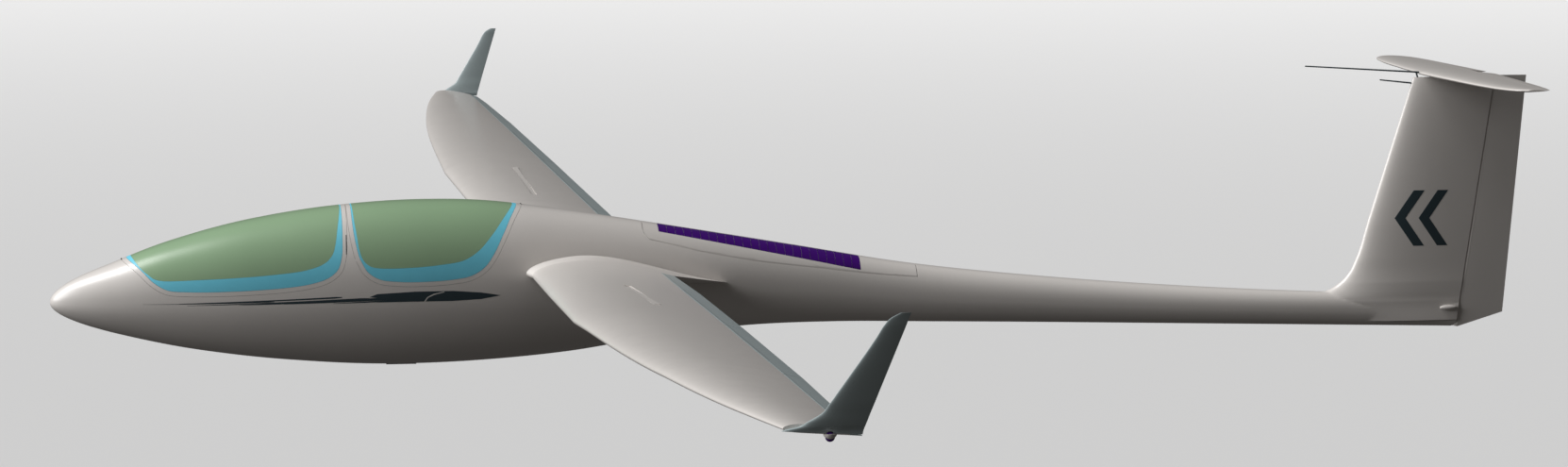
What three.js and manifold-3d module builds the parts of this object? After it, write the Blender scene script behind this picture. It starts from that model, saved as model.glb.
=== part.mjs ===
// A 1:4 scale radio-controlled two-seat sailplane with a folded engine, T-tail and winglets.
// Millimetres. Inside the airframe group, X runs aft from the nose tip, Y to starboard and
// Z up from the nose tip. The group then puts the origin under the middle of the model.
import * as THREE from "three";
import { mergeVertices } from "three/addons/utils/BufferGeometryUtils.js";
import Module from "manifold-3d";

const wasm = await Module();
wasm.setup();

// ---- Driving dimensions ----
const LENGTH = 2267.5; // nose tip to the rudder's top corner
const REST_DEPTH = 100.6; // from the nose tip's level down to the wear plate's underside
const SKIN = 2.2; // thickness of the moulded shells
const GAP = 0.4; // clearance between neighbouring pieces
const SECTION_POWER = 2.2; // fullness of the fuselage section: 2 is an ellipse

// Fuselage outlines, each [distance aft of the nose, value].
const CROWN = [
  [0, 0], [8, 15.5], [38, 35.5], [94, 58.7], [178, 90], [305, 122.4], [432, 140.6], [560, 147.4],
  [645, 145], [773, 128.5], [945, 100.7], [1119, 71], [1294, 41], [1499, 17.4], [1796, -6.2],
  [2160, -23],
];
const KEEL = [
  [0, 0], [8, -13], [38, -29], [115, -52], [220, -74], [348, -90.5], [517, -100], [645, -96.5],
  [773, -86], [945, -60.7], [1061, -50.3], [1177, -47.6], [1352, -50.6], [1796, -61.5], [2160, -71],
];
const BREADTH = [
  [0, 0], [8, 13.5], [38, 30], [94, 48], [178, 66], [305, 83.5], [450, 92.5], [560, 93], [690, 86],
  [831, 68], [1003, 49], [1180, 38], [1500, 30], [1950, 20], [2160, 10],
];

// Wing planform knots: distance out from the centre line, leading edge, hinge line and trailing
// edge aft of the nose, the leading edge's height, and how far the root fillet droops behind.
const WING_KNOTS = [
  { span: 46, lead: 702, hinge: 904, trail: 1014, height: 46.5, droop: 26.8 },
  { span: 62, lead: 701, hinge: 904, trail: 999.5, height: 45, droop: 21.9 },
  { span: 78, lead: 703, hinge: 904, trail: 985, height: 42, droop: 15.5 },
  { span: 98, lead: 712.4, hinge: 904, trail: 966.8, height: 39.6, droop: 8.8 },
  { span: 150, lead: 710, hinge: 901.2, trail: 919.7, height: 42.4, droop: 0 },
  { span: 600, lead: 689.6, hinge: 877.1, trail: 902.3, height: 66.9 },
  { span: 1112, lead: 672.5, hinge: 858, trail: 882.6, height: 90.1 },
  { span: 1250, lead: 674.4, hinge: 852.8, trail: 877.3, height: 96.4 },
  { span: 1900, lead: 697.1, hinge: 834.8, trail: 857.3, height: 119.2 },
  { span: 2300, lead: 734, hinge: 827.5, trail: 844.3, height: 129.9 },
  { span: 2447.5, lead: 755, hinge: 824.8, trail: 838, height: 132.8 },
];
const WING_ROOT_THICKNESS = 0.145; // of the chord
const WING_TIP_THICKNESS = 0.115;
const WING_CAMBER = 0.03;
const SURFACES = [
  { name: "inner_flap", from: 151, to: 599 },
  { name: "outer_flap", from: 601, to: 1249 },
  { name: "inner_aileron", from: 1251, to: 1899 },
  { name: "outer_aileron", from: 1901, to: 2299 },
];

// Fin and rudder: leading edge by height, hinge line and trailing edge as straight lines.
const FIN_LEAD = [
  { height: -60, lead: 1990 }, { height: -24, lead: 1925 }, { height: -17, lead: 1945 },
  { height: -10, lead: 1961 }, { height: 0, lead: 1976 }, { height: 14, lead: 1989 },
  { height: 36, lead: 2000 }, { height: 96, lead: 2018.6 }, { height: 200, lead: 2051 },
  { height: 316, lead: 2087.5 },
];
const RUDDER_HINGE = { foot: [2160.7, -71], top: [2218.6, 314] };
const RUDDER_TRAIL = { foot: [2234.5, -50], top: [2267.5, 318.7] };
const RUDDER_TOP = 318.7;
const RUDDER_NOSE = { foot: 7.4, top: 4.4 };
const FIN_THICKNESS = 0.1;
const TAIL_HEIGHT = 322.5; // chord plane of the stabilizer
const TAIL_THICKNESS = 0.1;

// Stabilizer planform: out from the centre line, leading and trailing edge.
const STABILIZER_KNOTS = [
  { span: 0, lead: 2098, trail: 2212 }, { span: 150, lead: 2105, trail: 2205.5 },
  { span: 300, lead: 2115, trail: 2198 }, { span: 350, lead: 2122.5, trail: 2194 },
  { span: 380, lead: 2132, trail: 2190 }, { span: 393, lead: 2140.5, trail: 2187 },
  { span: 400, lead: 2153, trail: 2182 },
];
const ELEVATOR_HINGE = 2180; // straight line across the tail
const ELEVATOR_SPAN = 375;

// Retracting main wheel.
const GEAR_PIVOT = [690, -50];
const GEAR_ARM = 60; // pivot to axle
const GEAR_REST_ANGLE = 45; // degrees above the horizontal, aft
const WHEEL_RADIUS = 44;
const WHEEL_WIDTH = 27;
const WELL = { front: 643, rear: 799, halfWidth: 35 };

// Engine bay doors in plan: [distance aft, half width].
const ENGINE_DOOR_EDGE = [
  [887, 0], [887, 30], [889, 37], [896, 41.5], [969, 41], [1056, 38], [1158, 33], [1307, 27], [1307, 0],
];

// ---- Solids and meshes ----
function toSolid(geometry, matrix = new THREE.Matrix4()) {
  const copy = new THREE.BufferGeometry();
  const source = geometry.index ? geometry.toNonIndexed() : geometry;
  copy.setAttribute("position", source.getAttribute("position").clone());
  copy.applyMatrix4(matrix);
  const merged = mergeVertices(copy, 1e-4);
  const points = merged.getAttribute("position").array;
  const index = merged.index.array;
  const kept = [];
  for (let i = 0; i < index.length; i += 3) {
    const [a, b, c] = [index[i], index[i + 1], index[i + 2]];
    if (a !== b && b !== c && c !== a) kept.push(a, b, c);
  }
  const build = (triangles) =>
    new wasm.Manifold(
      new wasm.Mesh({
        numProp: 3,
        vertProperties: new Float32Array(points),
        triVerts: new Uint32Array(triangles),
      }),
    );
  const solid = build(kept);
  return solid.volume() > 0 ? solid : build(kept.reverse());
}

function toGeometry(solid) {
  const { vertProperties, triVerts } = solid.getMesh();
  const geometry = new THREE.BufferGeometry();
  geometry.setAttribute("position", new THREE.BufferAttribute(vertProperties, 3));
  geometry.setIndex(new THREE.BufferAttribute(triVerts, 1));
  const flat = geometry.toNonIndexed();
  flat.computeVertexNormals();
  return flat;
}

// A closed skin through rings of equal point count, with a fan at each end.
function loft(rings) {
  const corners = [];
  const count = rings[0].length;
  for (let r = 0; r + 1 < rings.length; r++) {
    for (let i = 0; i < count; i++) {
      const j = (i + 1) % count;
      corners.push(rings[r][i], rings[r][j], rings[r + 1][j]);
      corners.push(rings[r][i], rings[r + 1][j], rings[r + 1][i]);
    }
  }
  for (const end of [0, rings.length - 1]) {
    const centre = new THREE.Vector3();
    rings[end].forEach((point) => centre.addScaledVector(point, 1 / count));
    for (let i = 0; i < count; i++) {
      const pair = [rings[end][i], rings[end][(i + 1) % count]];
      if (end > 0) pair.reverse();
      corners.push(centre, pair[1], pair[0]);
    }
  }
  const geometry = new THREE.BufferGeometry().setFromPoints(corners);
  return toSolid(geometry);
}

const box = (from, to) => {
  const size = to.map((value, axis) => value - from[axis]);
  const middle = to.map((value, axis) => (value + from[axis]) / 2);
  return toSolid(new THREE.BoxGeometry(...size), new THREE.Matrix4().makeTranslation(...middle));
};

// A round bar or cone between two points.
function rod(from, to, radiusFrom, radiusTo = radiusFrom, sides = 16) {
  const start = new THREE.Vector3(...from);
  const end = new THREE.Vector3(...to);
  const along = end.clone().sub(start);
  const geometry = new THREE.CylinderGeometry(radiusTo, radiusFrom, along.length(), sides);
  const turn = new THREE.Quaternion().setFromUnitVectors(new THREE.Vector3(0, 1, 0), along.normalize());
  const middle = start.add(end).multiplyScalar(0.5);
  return toSolid(geometry, new THREE.Matrix4().compose(middle, turn, new THREE.Vector3(1, 1, 1)));
}

// An outline in the side view, [x, z] points, carried across from one Y to another.
function sidePrism(outline, fromY, toY) {
  const shape = new THREE.Shape(outline.map(([x, z]) => new THREE.Vector2(x, z)));
  const geometry = new THREE.ExtrudeGeometry(shape, { depth: toY - fromY, bevelEnabled: false });
  const place = new THREE.Matrix4().makeRotationX(Math.PI / 2).setPosition(0, toY, 0);
  return toSolid(geometry, place);
}

// An outline in plan, [x, y] points, carried up from one Z to another.
function planPrism(outline, fromZ, toZ) {
  const shape = new THREE.Shape(outline.map(([x, y]) => new THREE.Vector2(x, y)));
  const geometry = new THREE.ExtrudeGeometry(shape, { depth: toZ - fromZ, bevelEnabled: false });
  return toSolid(geometry, new THREE.Matrix4().makeTranslation(0, 0, fromZ));
}

// A round body of [distance along X, radius] points about an axis through (0, y, z).
function turned(profile, y, z, sides = 16) {
  const points = profile.map(([along, radius]) => new THREE.Vector2(radius, along));
  const place = new THREE.Matrix4().makeRotationZ(-Math.PI / 2).setPosition(0, y, z);
  return toSolid(new THREE.LatheGeometry(points, sides), place);
}

// A smooth curve through outline points, even near a blunt nose.
function smooth(points, x) {
  const at = (i) => Math.sqrt(points[i][0]);
  const q = Math.sqrt(Math.max(x, 0));
  let i = 0;
  while (i < points.length - 2 && q > at(i + 1)) i++;
  const slope = (k) => {
    const rise = (a, b) => (points[b][1] - points[a][1]) / (at(b) - at(a));
    if (k === 0) return rise(0, 1);
    if (k === points.length - 1) return rise(k - 1, k);
    const before = at(k) - at(k - 1);
    const after = at(k + 1) - at(k);
    return (rise(k - 1, k) * after + rise(k, k + 1) * before) / (before + after);
  };
  const step = at(i + 1) - at(i);
  const t = (q - at(i)) / step;
  const blend = [2 * t ** 3 - 3 * t ** 2 + 1, t ** 3 - 2 * t ** 2 + t, 3 * t ** 2 - 2 * t ** 3, t ** 3 - t ** 2];
  return (
    blend[0] * points[i][1] +
    blend[1] * step * slope(i) +
    blend[2] * points[i + 1][1] +
    blend[3] * step * slope(i + 1)
  );
}

const mix = (a, b, t) => a + (b - a) * t;

// ---- Fuselage form ----
const HULL_POINTS = 20;

function hullRing(x, inset) {
  const crown = smooth(CROWN, x);
  const keel = smooth(KEEL, x);
  const waist = mix(keel, crown, 0.46);
  const half = Math.max(smooth(BREADTH, x) - inset, 0.5);
  const power = 2 / SECTION_POWER;
  return Array.from({ length: HULL_POINTS }, (_, i) => {
    const angle = (2 * Math.PI * (i + 0.5)) / HULL_POINTS;
    const [across, up] = [Math.cos(angle), Math.sin(angle)];
    const reach = Math.max((up > 0 ? crown - waist : waist - keel) - inset, 0.5);
    const y = half * Math.sign(across) * Math.abs(across) ** power;
    const z = waist + reach * Math.sign(up) * Math.abs(up) ** power;
    return new THREE.Vector3(x, y, z);
  });
}

// The fuselage's outer form, moved inwards by the inset (or outwards when it is negative).
function hull(inset, from = 0.4, to = 2192) {
  const rings = [];
  const steps = 25;
  for (let i = 0; i <= steps; i++) rings.push(hullRing(from + (to - from) * (i / steps) ** 1.5, inset));
  return loft(rings);
}

// ---- Canopies ----
const FRONT_HINGE = [106.5, smooth(CROWN, 106.5)];
const REAR_HINGE = [705, smooth(CROWN, 705)];
const ARCH_X = 440.4; // where the two canopies meet on top

function canopyOutline(points) {
  const curve = new THREE.SplineCurve(points.map(([x, z]) => new THREE.Vector2(x, z)));
  return curve.getPoints(17).map((point) => [point.x, point.y]);
}

// The outlines run along the seam from the front top edge to the rear top edge, then over the top.
function frontSeam() {
  const seam = canopyOutline([
    [FRONT_HINGE[0], FRONT_HINGE[1]], [128, 47.5], [150, 27], [172, 15.5], [204, 13], [273, 14], [343, 18.5],
    [386, 24.5], [414, 34], [430, 48], [437, 68], [439, 100], [439.6, 142],
  ]);
  return [...seam, [439.6, 190], [FRONT_HINGE[0], 190]];
}

function rearSeam() {
  const radius = REAR_HINGE[0] - ARCH_X;
  const arc = [];
  for (let angle = 0; angle <= 16; angle += 4) {
    const turn = THREE.MathUtils.degToRad(angle);
    arc.push([REAR_HINGE[0] - radius * Math.cos(turn), REAR_HINGE[1] - radius * Math.sin(turn)]);
  }
  const sweep = canopyOutline([
    arc.at(-1), [464, 43], [484, 30.5], [516, 26], [552, 25.5], [595, 28], [625, 33.5], [647, 46.5], [661, 64],
    [678, 95], [692, 121], [REAR_HINGE[0], REAR_HINGE[1]],
  ]);
  return [...arc.slice(0, -1), ...sweep, [REAR_HINGE[0], 190], [arc[0][0], 190]];
}

// Move a closed outline inwards by a distance (outwards when negative).
function inset(outline, distance) {
  const count = outline.length;
  const area = outline.reduce((sum, [x, z], i) => {
    const [nextX, nextZ] = outline[(i + 1) % count];
    return sum + x * nextZ - nextX * z;
  }, 0);
  const side = Math.sign(area);
  return outline.map((point, i) => {
    const before = new THREE.Vector2(...outline[(i + count - 1) % count]);
    const here = new THREE.Vector2(...point);
    const after = new THREE.Vector2(...outline[(i + 1) % count]);
    const first = here.clone().sub(before).normalize();
    const second = after.sub(here).normalize();
    const normal = new THREE.Vector2(-first.y - second.y, first.x + second.x).normalize();
    const stretch = Math.max(normal.dot(new THREE.Vector2(-first.y, first.x)), 0.5);
    return [here.x + (normal.x * side * distance) / stretch, here.y + (normal.y * side * distance) / stretch];
  });
}

const CANOPY_FRAME = 6.5; // width of the painted outer frame
const CANOPY_RIM = 21; // width from the seam to the inner edge of the blue rim
const GLASS = 1.5;

const outerHull = hull(0);
const band = (outline, from, to) =>
  sidePrism(inset(outline, from), -120, 120).subtract(sidePrism(inset(outline, to), -121, 121));
const shellBetween = (outer, inner) => hull(outer).subtract(hull(inner, 8, 2150));
const canopyShell = outerHull.subtract(hull(3, 8, 2150));

function hingeNotch([x, z], radius = 1.3) {
  return rod([x, -7, z], [x, 7, z], radius);
}

function canopyFrame(seam, hinge) {
  return canopyShell.intersect(band(seam, GAP / 2, CANOPY_FRAME)).subtract(hingeNotch(hinge));
}

function canopyGlass(seam) {
  const pane = sidePrism(inset(seam, CANOPY_FRAME + 0.3), -120, 120);
  return shellBetween(0, GLASS).intersect(pane);
}

function canopyRim(seam) {
  return shellBetween(GLASS + 0.3, GLASS + 1.8).intersect(band(seam, CANOPY_FRAME + 0.3, CANOPY_RIM));
}

// ---- Wings ----
// The upper and lower line of a wing section at a fraction of the chord.
function sectionAt(part, thickness, camber) {
  const shape =
    0.2969 * Math.sqrt(part) - 0.126 * part - 0.3516 * part ** 2 + 0.2843 * part ** 3 - 0.1015 * part ** 4;
  const crest = 0.4;
  const mean =
    part < crest
      ? (camber / crest ** 2) * (2 * crest * part - part ** 2)
      : (camber / (1 - crest) ** 2) * (1 - 2 * crest + 2 * crest * part - part ** 2);
  return { mean, half: 5 * thickness * shape };
}

// Points round a section from its trailing edge over the top: [fraction of chord, height / chord].
function sectionLoop(thickness, camber, count = 11) {
  const parts = Array.from({ length: count }, (_, i) => (1 + Math.cos((Math.PI * i) / count)) / 2);
  const top = parts.map((part) => {
    const { mean, half } = sectionAt(part, thickness, camber);
    return [part, mean + half];
  });
  const bottom = parts.map((_, i) => {
    const part = (1 - Math.cos((Math.PI * i) / count)) / 2;
    const { mean, half } = sectionAt(part, thickness, camber);
    return [part, mean - half];
  });
  const { mean, half } = sectionAt(1, thickness, camber);
  return [...top, ...bottom, [1, mean - half]];
}

const wingThickness = (span) => mix(WING_ROOT_THICKNESS, WING_TIP_THICKNESS, span / 2447.5);
const trailDrop = (span) => 0.4 + 0.0035 * span; // the trailing edge lies this much below the leading edge

function wingKnotAt(span) {
  let i = 0;
  while (i < WING_KNOTS.length - 2 && span > WING_KNOTS[i + 1].span) i++;
  const [a, b] = [WING_KNOTS[i], WING_KNOTS[i + 1]];
  const t = (span - a.span) / (b.span - a.span);
  return {
    span,
    lead: mix(a.lead, b.lead, t),
    hinge: mix(a.hinge, b.hinge, t),
    trail: mix(a.trail, b.trail, t),
    height: mix(a.height, b.height, t),
    droop: mix(a.droop ?? 0, b.droop ?? 0, t),
  };
}

// The root fillet's droop grows from nothing at a quarter of the chord.
const droopAt = (part) => THREE.MathUtils.smoothstep(part, 0.25, 0.95);

function wingRing(knot, side) {
  const chord = knot.trail - knot.lead;
  const fullChord = Math.min(chord, 222); // the root fillet is no thicker than the wing beside it
  const scale = (wingThickness(knot.span) * fullChord) / chord;
  return sectionLoop(scale, (WING_CAMBER * fullChord) / chord).map(
    ([part, up]) =>
      new THREE.Vector3(
        knot.lead + part * chord,
        side * knot.span,
        knot.height - part * trailDrop(knot.span) - droopAt(part) * (knot.droop ?? 0) + up * chord,
      ),
  );
}

// The middle of the section on the hinge line, and the radius of the control surface's nose there.
function wingHinge(span) {
  const knot = wingKnotAt(span);
  const chord = knot.trail - knot.lead;
  const part = (knot.hinge - knot.lead) / chord;
  const { mean, half } = sectionAt(part, wingThickness(span), WING_CAMBER);
  const height = knot.height - part * trailDrop(span) + mean * chord;
  return { point: [knot.hinge, span, height], radius: half * chord * 1.03 };
}

// Everything behind a wing hinge line between two span stations.
function behindHinge(from, to, side) {
  const start = wingHinge(from).point;
  const end = wingHinge(to).point;
  const reach = 140;
  return planPrism(
    [
      [start[0], side * from], [start[0] + reach, side * from],
      [end[0] + reach, side * to], [end[0], side * to],
    ],
    0,
    200,
  );
}

function noseRod(from, to, side, extra) {
  const start = wingHinge(from);
  const end = wingHinge(to);
  const place = (hinge) => [hinge.point[0], side * hinge.point[1], hinge.point[2]];
  return rod(place(start), place(end), start.radius + extra, end.radius + extra, 20);
}

const wingForm = (side) => loft(WING_KNOTS.map((knot) => wingRing(knot, side)));

// A box between two distances out on one side, given as [x, span, z] corners.
const sideBox = (side, [x0, span0, z0], [x1, span1, z1]) =>
  side > 0 ? box([x0, span0, z0], [x1, span1, z1]) : box([x0, -span1, z0], [x1, -span0, z1]);

function controlSurface({ from, to }, side) {
  const blade = wingForm(side).intersect(behindHinge(from, to, side));
  return blade.add(noseRod(from, to, side, 0)).intersect(sideBox(side, [0, from, -200], [1200, to, 300]));
}

// Airbrake: a blade with a cap strip that rises out of a slot in the upper skin.
const AIRBRAKE = { from: 690, to: 1050, x: 789, depth: 15 };

function airbrakeFrame(side) {
  const middle = (AIRBRAKE.from + AIRBRAKE.to) / 2;
  const rise = wingKnotAt(AIRBRAKE.to).height - wingKnotAt(AIRBRAKE.from).height;
  const slope = rise / (AIRBRAKE.to - AIRBRAKE.from);
  const topAt = (span) => {
    const knot = wingKnotAt(span);
    const chord = knot.trail - knot.lead;
    const part = (AIRBRAKE.x - knot.lead) / chord;
    const { mean, half } = sectionAt(part, wingThickness(span), WING_CAMBER);
    return knot.height - part * trailDrop(span) + (mean + half) * chord;
  };
  const place = new THREE.Matrix4().makeRotationX(side * Math.atan(slope));
  place.setPosition(AIRBRAKE.x, side * middle, topAt(middle));
  return { place, half: (AIRBRAKE.to - AIRBRAKE.from) / 2 };
}

// A box given about the airbrake's own middle, with its top surface at zero.
function airbrakeBox(side, halfWidth, low, high, trim) {
  const { place, half } = airbrakeFrame(side);
  const size = [2 * halfWidth, 2 * (half - trim), high - low];
  const shift = new THREE.Matrix4().makeTranslation(0, 0, (low + high) / 2);
  return toSolid(new THREE.BoxGeometry(...size), place.clone().multiply(shift));
}

function airbrake(side) {
  const cap = airbrakeBox(side, 4.2, -1.9, -0.5, 0.5);
  const blade = airbrakeBox(side, 1.2, -AIRBRAKE.depth, -1.5, 3);
  return cap.add(blade);
}

const airbrakeSlot = (side) =>
  airbrakeBox(side, 4.7, -2.4, 6, 0).add(airbrakeBox(side, 1.7, -AIRBRAKE.depth - 0.6, -2, 2.5));

// Servo pockets in the underside of the wing.
const SERVOS = [
  { name: "flap_servo", span: 350 },
  { name: "aileron_servo", span: 1575 },
];
const SERVO_SIZE = { length: 30, width: 12, height: 9 };

function servoPlace(span) {
  const knot = wingKnotAt(span);
  const chord = knot.trail - knot.lead;
  const part = 0.42;
  const { mean, half } = sectionAt(part, wingThickness(span), WING_CAMBER);
  const floor = knot.height - part * trailDrop(span) + (mean - half) * chord;
  return [knot.lead + part * chord, floor];
}

function servoBox(span, side, grow, low, high) {
  const [x, floor] = servoPlace(span);
  const halfLength = SERVO_SIZE.length / 2 + grow;
  const halfWidth = SERVO_SIZE.width / 2 + grow;
  return box(
    [x - halfLength, side * span - halfWidth, floor + low],
    [x + halfLength, side * span + halfWidth, floor + high],
  );
}

function wing(side) {
  let panel = wingForm(side).subtract(hull(-0.3));
  for (const { from, to } of SURFACES) {
    panel = panel.subtract(behindHinge(from - 1, to + 1, side));
    panel = panel.subtract(noseRod(from - 1, to + 1, side, 0.5));
  }
  panel = panel.subtract(airbrakeSlot(side));
  for (const { span } of SERVOS) {
    panel = panel.subtract(servoBox(span, side, GAP, -8, SERVO_SIZE.height + 1.2));
  }
  return panel.subtract(joinerRod(0.3));
}

// The joiner passes through both wing roots and the fuselage.
const JOINER = { x: 782, z: 51, radius: 5.5, reach: 240 };

function joinerRod(extra) {
  const { x, z, radius, reach } = JOINER;
  const end = reach + extra;
  const rise = 0.0545 * (reach - 98);
  const left = rod([x, -98, z], [x, -end, z + rise], radius + extra);
  const right = rod([x, 98, z], [x, end, z + rise], radius + extra);
  const bend = [-98, 98].map((y) =>
    toSolid(new THREE.SphereGeometry(radius + extra, 12, 8), new THREE.Matrix4().makeTranslation(x, y, z)),
  );
  return rod([x, -98, z], [x, 98, z], radius + extra).add(left).add(right).add(bend[0]).add(bend[1]);
}

// ---- Winglets and tip wheels ----
const WINGLET_SECTIONS = [
  { height: 122, lead: 756, trail: 837, out: 2450.5, thick: 5 },
  { height: 132, lead: 756, trail: 839, out: 2452, thick: 6.5 },
  { height: 135, lead: 769, trail: 840, out: 2453.5, thick: 6.5 },
  { height: 141, lead: 786, trail: 842, out: 2456, thick: 6 },
  { height: 149, lead: 799, trail: 844.5, out: 2459, thick: 5 },
  { height: 161, lead: 806, trail: 848.5, out: 2464, thick: 4.2 },
  { height: 244, lead: 853, trail: 876, out: 2494.5, thick: 2.4 },
  { height: 252, lead: 860, trail: 878.5, out: 2497, thick: 1.8 },
  { height: 257, lead: 869.5, trail: 880.3, out: 2499, thick: 1 },
];

function winglet(side) {
  const rings = WINGLET_SECTIONS.map(({ height, lead, trail, out, thick }) => {
    const chord = trail - lead;
    return sectionLoop(thick / chord, 0, 6).map(
      ([part, up]) => new THREE.Vector3(lead + part * chord, side * out + up * chord, height),
    );
  });
  const wingTip = sideBox(side, [600, 2300, 60], [1000, 2447.8, 320]);
  // The foot slopes down aft with the wing tip's underside, and clears the tip wheel.
  const under = [[740, 131.4], [850, 125.1], [850, 110], [740, 110]];
  const foot = side > 0 ? sidePrism(under, 2400, 2520) : sidePrism(under, -2520, -2400);
  const { x, y, z, radius, width } = TIP_WHEEL;
  const reach = width / 2 + 0.6;
  const well = rod([x, side * y - reach, z], [x, side * y + reach, z], radius + 0.8, radius + 0.8, 16);
  return loft(rings).subtract(wingTip).subtract(foot).subtract(well);
}

const TIP_WHEEL = { x: 803.5, y: 2452.5, z: 124, radius: 5.2, width: 3.4 };

function tipFairing(side) {
  const { x, y, z, radius, width } = TIP_WHEEL;
  const top = 127.3; // just under the winglet's foot
  const dome = toSolid(
    new THREE.SphereGeometry(7.5, 16, 12),
    new THREE.Matrix4().makeScale(1, 0.85, 1).setPosition(x, side * y, top + 1.5),
  );
  const slot = box(
    [x - radius - 0.6, side * y - width / 2 - 0.4, z - 20],
    [x + radius + 0.6, side * y + width / 2 + 0.4, z + radius + 0.6],
  );
  const above = box([x - 20, side * y - 20, top], [x + 20, side * y + 20, z + 20]);
  const axle = rod([x, side * y - 4.5, z], [x, side * y + 4.5, z], 0.9, 0.9, 12);
  const wingSide = sideBox(side, [x - 20, 2400, 60], [x + 20, 2447.8, 160]);
  return dome.subtract(slot).subtract(above).add(axle).subtract(wingSide);
}

function tipWheel(side) {
  const { x, y, z, radius, width } = TIP_WHEEL;
  const centre = side * y;
  const tyre = rod([x, centre - width / 2, z], [x, centre + width / 2, z], radius, radius, 20);
  return tyre.subtract(rod([x, centre - 5, z], [x, centre + 5, z], 1, 1, 12));
}

// ---- Tail ----
const alongLine = ({ foot, top }, height) =>
  mix(foot[0], top[0], (height - foot[1]) / (top[1] - foot[1]));

function finLeadAt(height) {
  let i = 0;
  while (i < FIN_LEAD.length - 2 && height > FIN_LEAD[i + 1].height) i++;
  const [a, b] = [FIN_LEAD[i], FIN_LEAD[i + 1]];
  return mix(a.lead, b.lead, (height - a.height) / (b.height - a.height));
}

// Half thickness of the fin and rudder at a height: fuller where it grows out of the boom.
function tailThickness(height) {
  const chord = alongLine(RUDDER_TRAIL, height) - finLeadAt(Math.max(height, 0));
  const flare = height < 30 ? 1 + 0.28 * ((30 - Math.max(height, -30)) / 60) ** 2 : 1;
  return FIN_THICKNESS * chord * flare;
}

function tailRing(height, count = 10) {
  const lead = finLeadAt(height);
  const chord = alongLine(RUDDER_TRAIL, height) - lead;
  return sectionLoop(tailThickness(height) / chord, 0, count).map(
    ([part, up]) => new THREE.Vector3(lead + part * chord, up * chord, height),
  );
}

// Radius of the rudder's round nose, a straight taper from foot to top.
function rudderNose(height) {
  const foot = RUDDER_HINGE.foot[1];
  return mix(RUDDER_NOSE.foot, RUDDER_NOSE.top, (height - foot) / (RUDDER_TOP - foot));
}

function rudderRod(extra, from = RUDDER_HINGE.foot[1], to = 316) {
  const place = (height) => [alongLine(RUDDER_HINGE, height), 0, height];
  return rod(place(from), place(to), rudderNose(from) + extra, rudderNose(to) + extra, 20);
}

// Everything behind the rudder's hinge line.
function behindRudderHinge(low, high) {
  const foot = [alongLine(RUDDER_HINGE, low), low];
  const top = [alongLine(RUDDER_HINGE, high), high];
  return sidePrism([foot, [foot[0] + 200, low], [top[0] + 200, high], top], -60, 60);
}

const FIN_STATIONS = [-60, -40, -24, -17, -10, 0, 14, 36, 96, 200, RUDDER_TOP];
const finForm = loft(FIN_STATIONS.map((height) => tailRing(height)));
const FIN_TOP = 316.2;

function fin() {
  const body = finForm.subtract(box([1800, -60, FIN_TOP], [2300, 60, 400]));
  return body.subtract(behindRudderHinge(-120, 400)).subtract(rudderRod(1, -90, 330));
}

// The rudder's foot carries the end of the boom down to the keel line.
function rudder() {
  const foot = [-71, -60, -24, 0, 60, 200, RUDDER_TOP].map((height) => {
    const nose = alongLine(RUDDER_HINGE, height);
    const chord = alongLine(RUDDER_TRAIL, height) - nose;
    const half = rudderNose(height);
    const edge = 0.6;
    return [
      new THREE.Vector3(nose, half, height),
      new THREE.Vector3(nose + chord * 0.5, mix(half, edge, 0.5) * 1.04, height),
      new THREE.Vector3(nose + chord, edge, height),
      new THREE.Vector3(nose + chord, -edge, height),
      new THREE.Vector3(nose + chord * 0.5, -mix(half, edge, 0.5) * 1.04, height),
      new THREE.Vector3(nose, -half, height),
    ];
  });
  const underside = [[2100, -110], [2100, -71.2], [2160.7, -71.2], [2300, -31], [2300, -110]];
  const slant = sidePrism(underside, -60, 60);
  const overTop = box([2000, -60, 315.8], [2216.5, 60, 400]);
  return loft(foot).add(rudderRod(0, -71, RUDDER_TOP)).subtract(slant).subtract(overTop);
}

function stabilizerForm() {
  const knots = [...STABILIZER_KNOTS].reverse().map((knot) => ({ ...knot, side: -1 }));
  const all = [...knots.slice(0, -1), ...STABILIZER_KNOTS.map((knot) => ({ ...knot, side: 1 }))];
  return loft(
    all.map(({ span, lead, trail, side }) => {
      const chord = trail - lead;
      return sectionLoop(TAIL_THICKNESS, 0, 6).map(
        ([part, up]) => new THREE.Vector3(lead + part * chord, side * span, TAIL_HEIGHT + up * chord),
      );
    }),
  );
}

const stabilizerBody = stabilizerForm();
const elevatorZone = (grow) =>
  box([ELEVATOR_HINGE, -ELEVATOR_SPAN - grow, 300], [2300, ELEVATOR_SPAN + grow, 345]);

// Half thickness of the tail plane on the elevator's hinge line.
function elevatorRadius(span) {
  let i = 0;
  while (i < STABILIZER_KNOTS.length - 2 && span > STABILIZER_KNOTS[i + 1].span) i++;
  const [a, b] = [STABILIZER_KNOTS[i], STABILIZER_KNOTS[i + 1]];
  const t = (span - a.span) / (b.span - a.span);
  const lead = mix(a.lead, b.lead, t);
  const chord = mix(a.trail, b.trail, t) - lead;
  return sectionAt((ELEVATOR_HINGE - lead) / chord, TAIL_THICKNESS, 0).half * chord * 1.02;
}

function elevatorNose(grow) {
  const stops = [0, 150, 300, 350, ELEVATOR_SPAN];
  const parts = [];
  for (let i = 0; i + 1 < stops.length; i++) {
    for (const side of [-1, 1]) {
      const start = stops[i] - 0.1; // a little overlap joins the cones
      const reach = stops[i + 1] + (i + 2 === stops.length ? grow : 0);
      const from = [ELEVATOR_HINGE, side * start, TAIL_HEIGHT];
      const to = [ELEVATOR_HINGE, side * reach, TAIL_HEIGHT];
      parts.push(rod(from, to, elevatorRadius(stops[i]) + grow, elevatorRadius(stops[i + 1]) + grow));
    }
  }
  return parts.reduce((whole, part) => whole.add(part));
}
// The elevator's halves leave room for the rudder's top between them.
const rudderRoom = (from) => box([from, -24, 300], [2300, 24, 345]);

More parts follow.
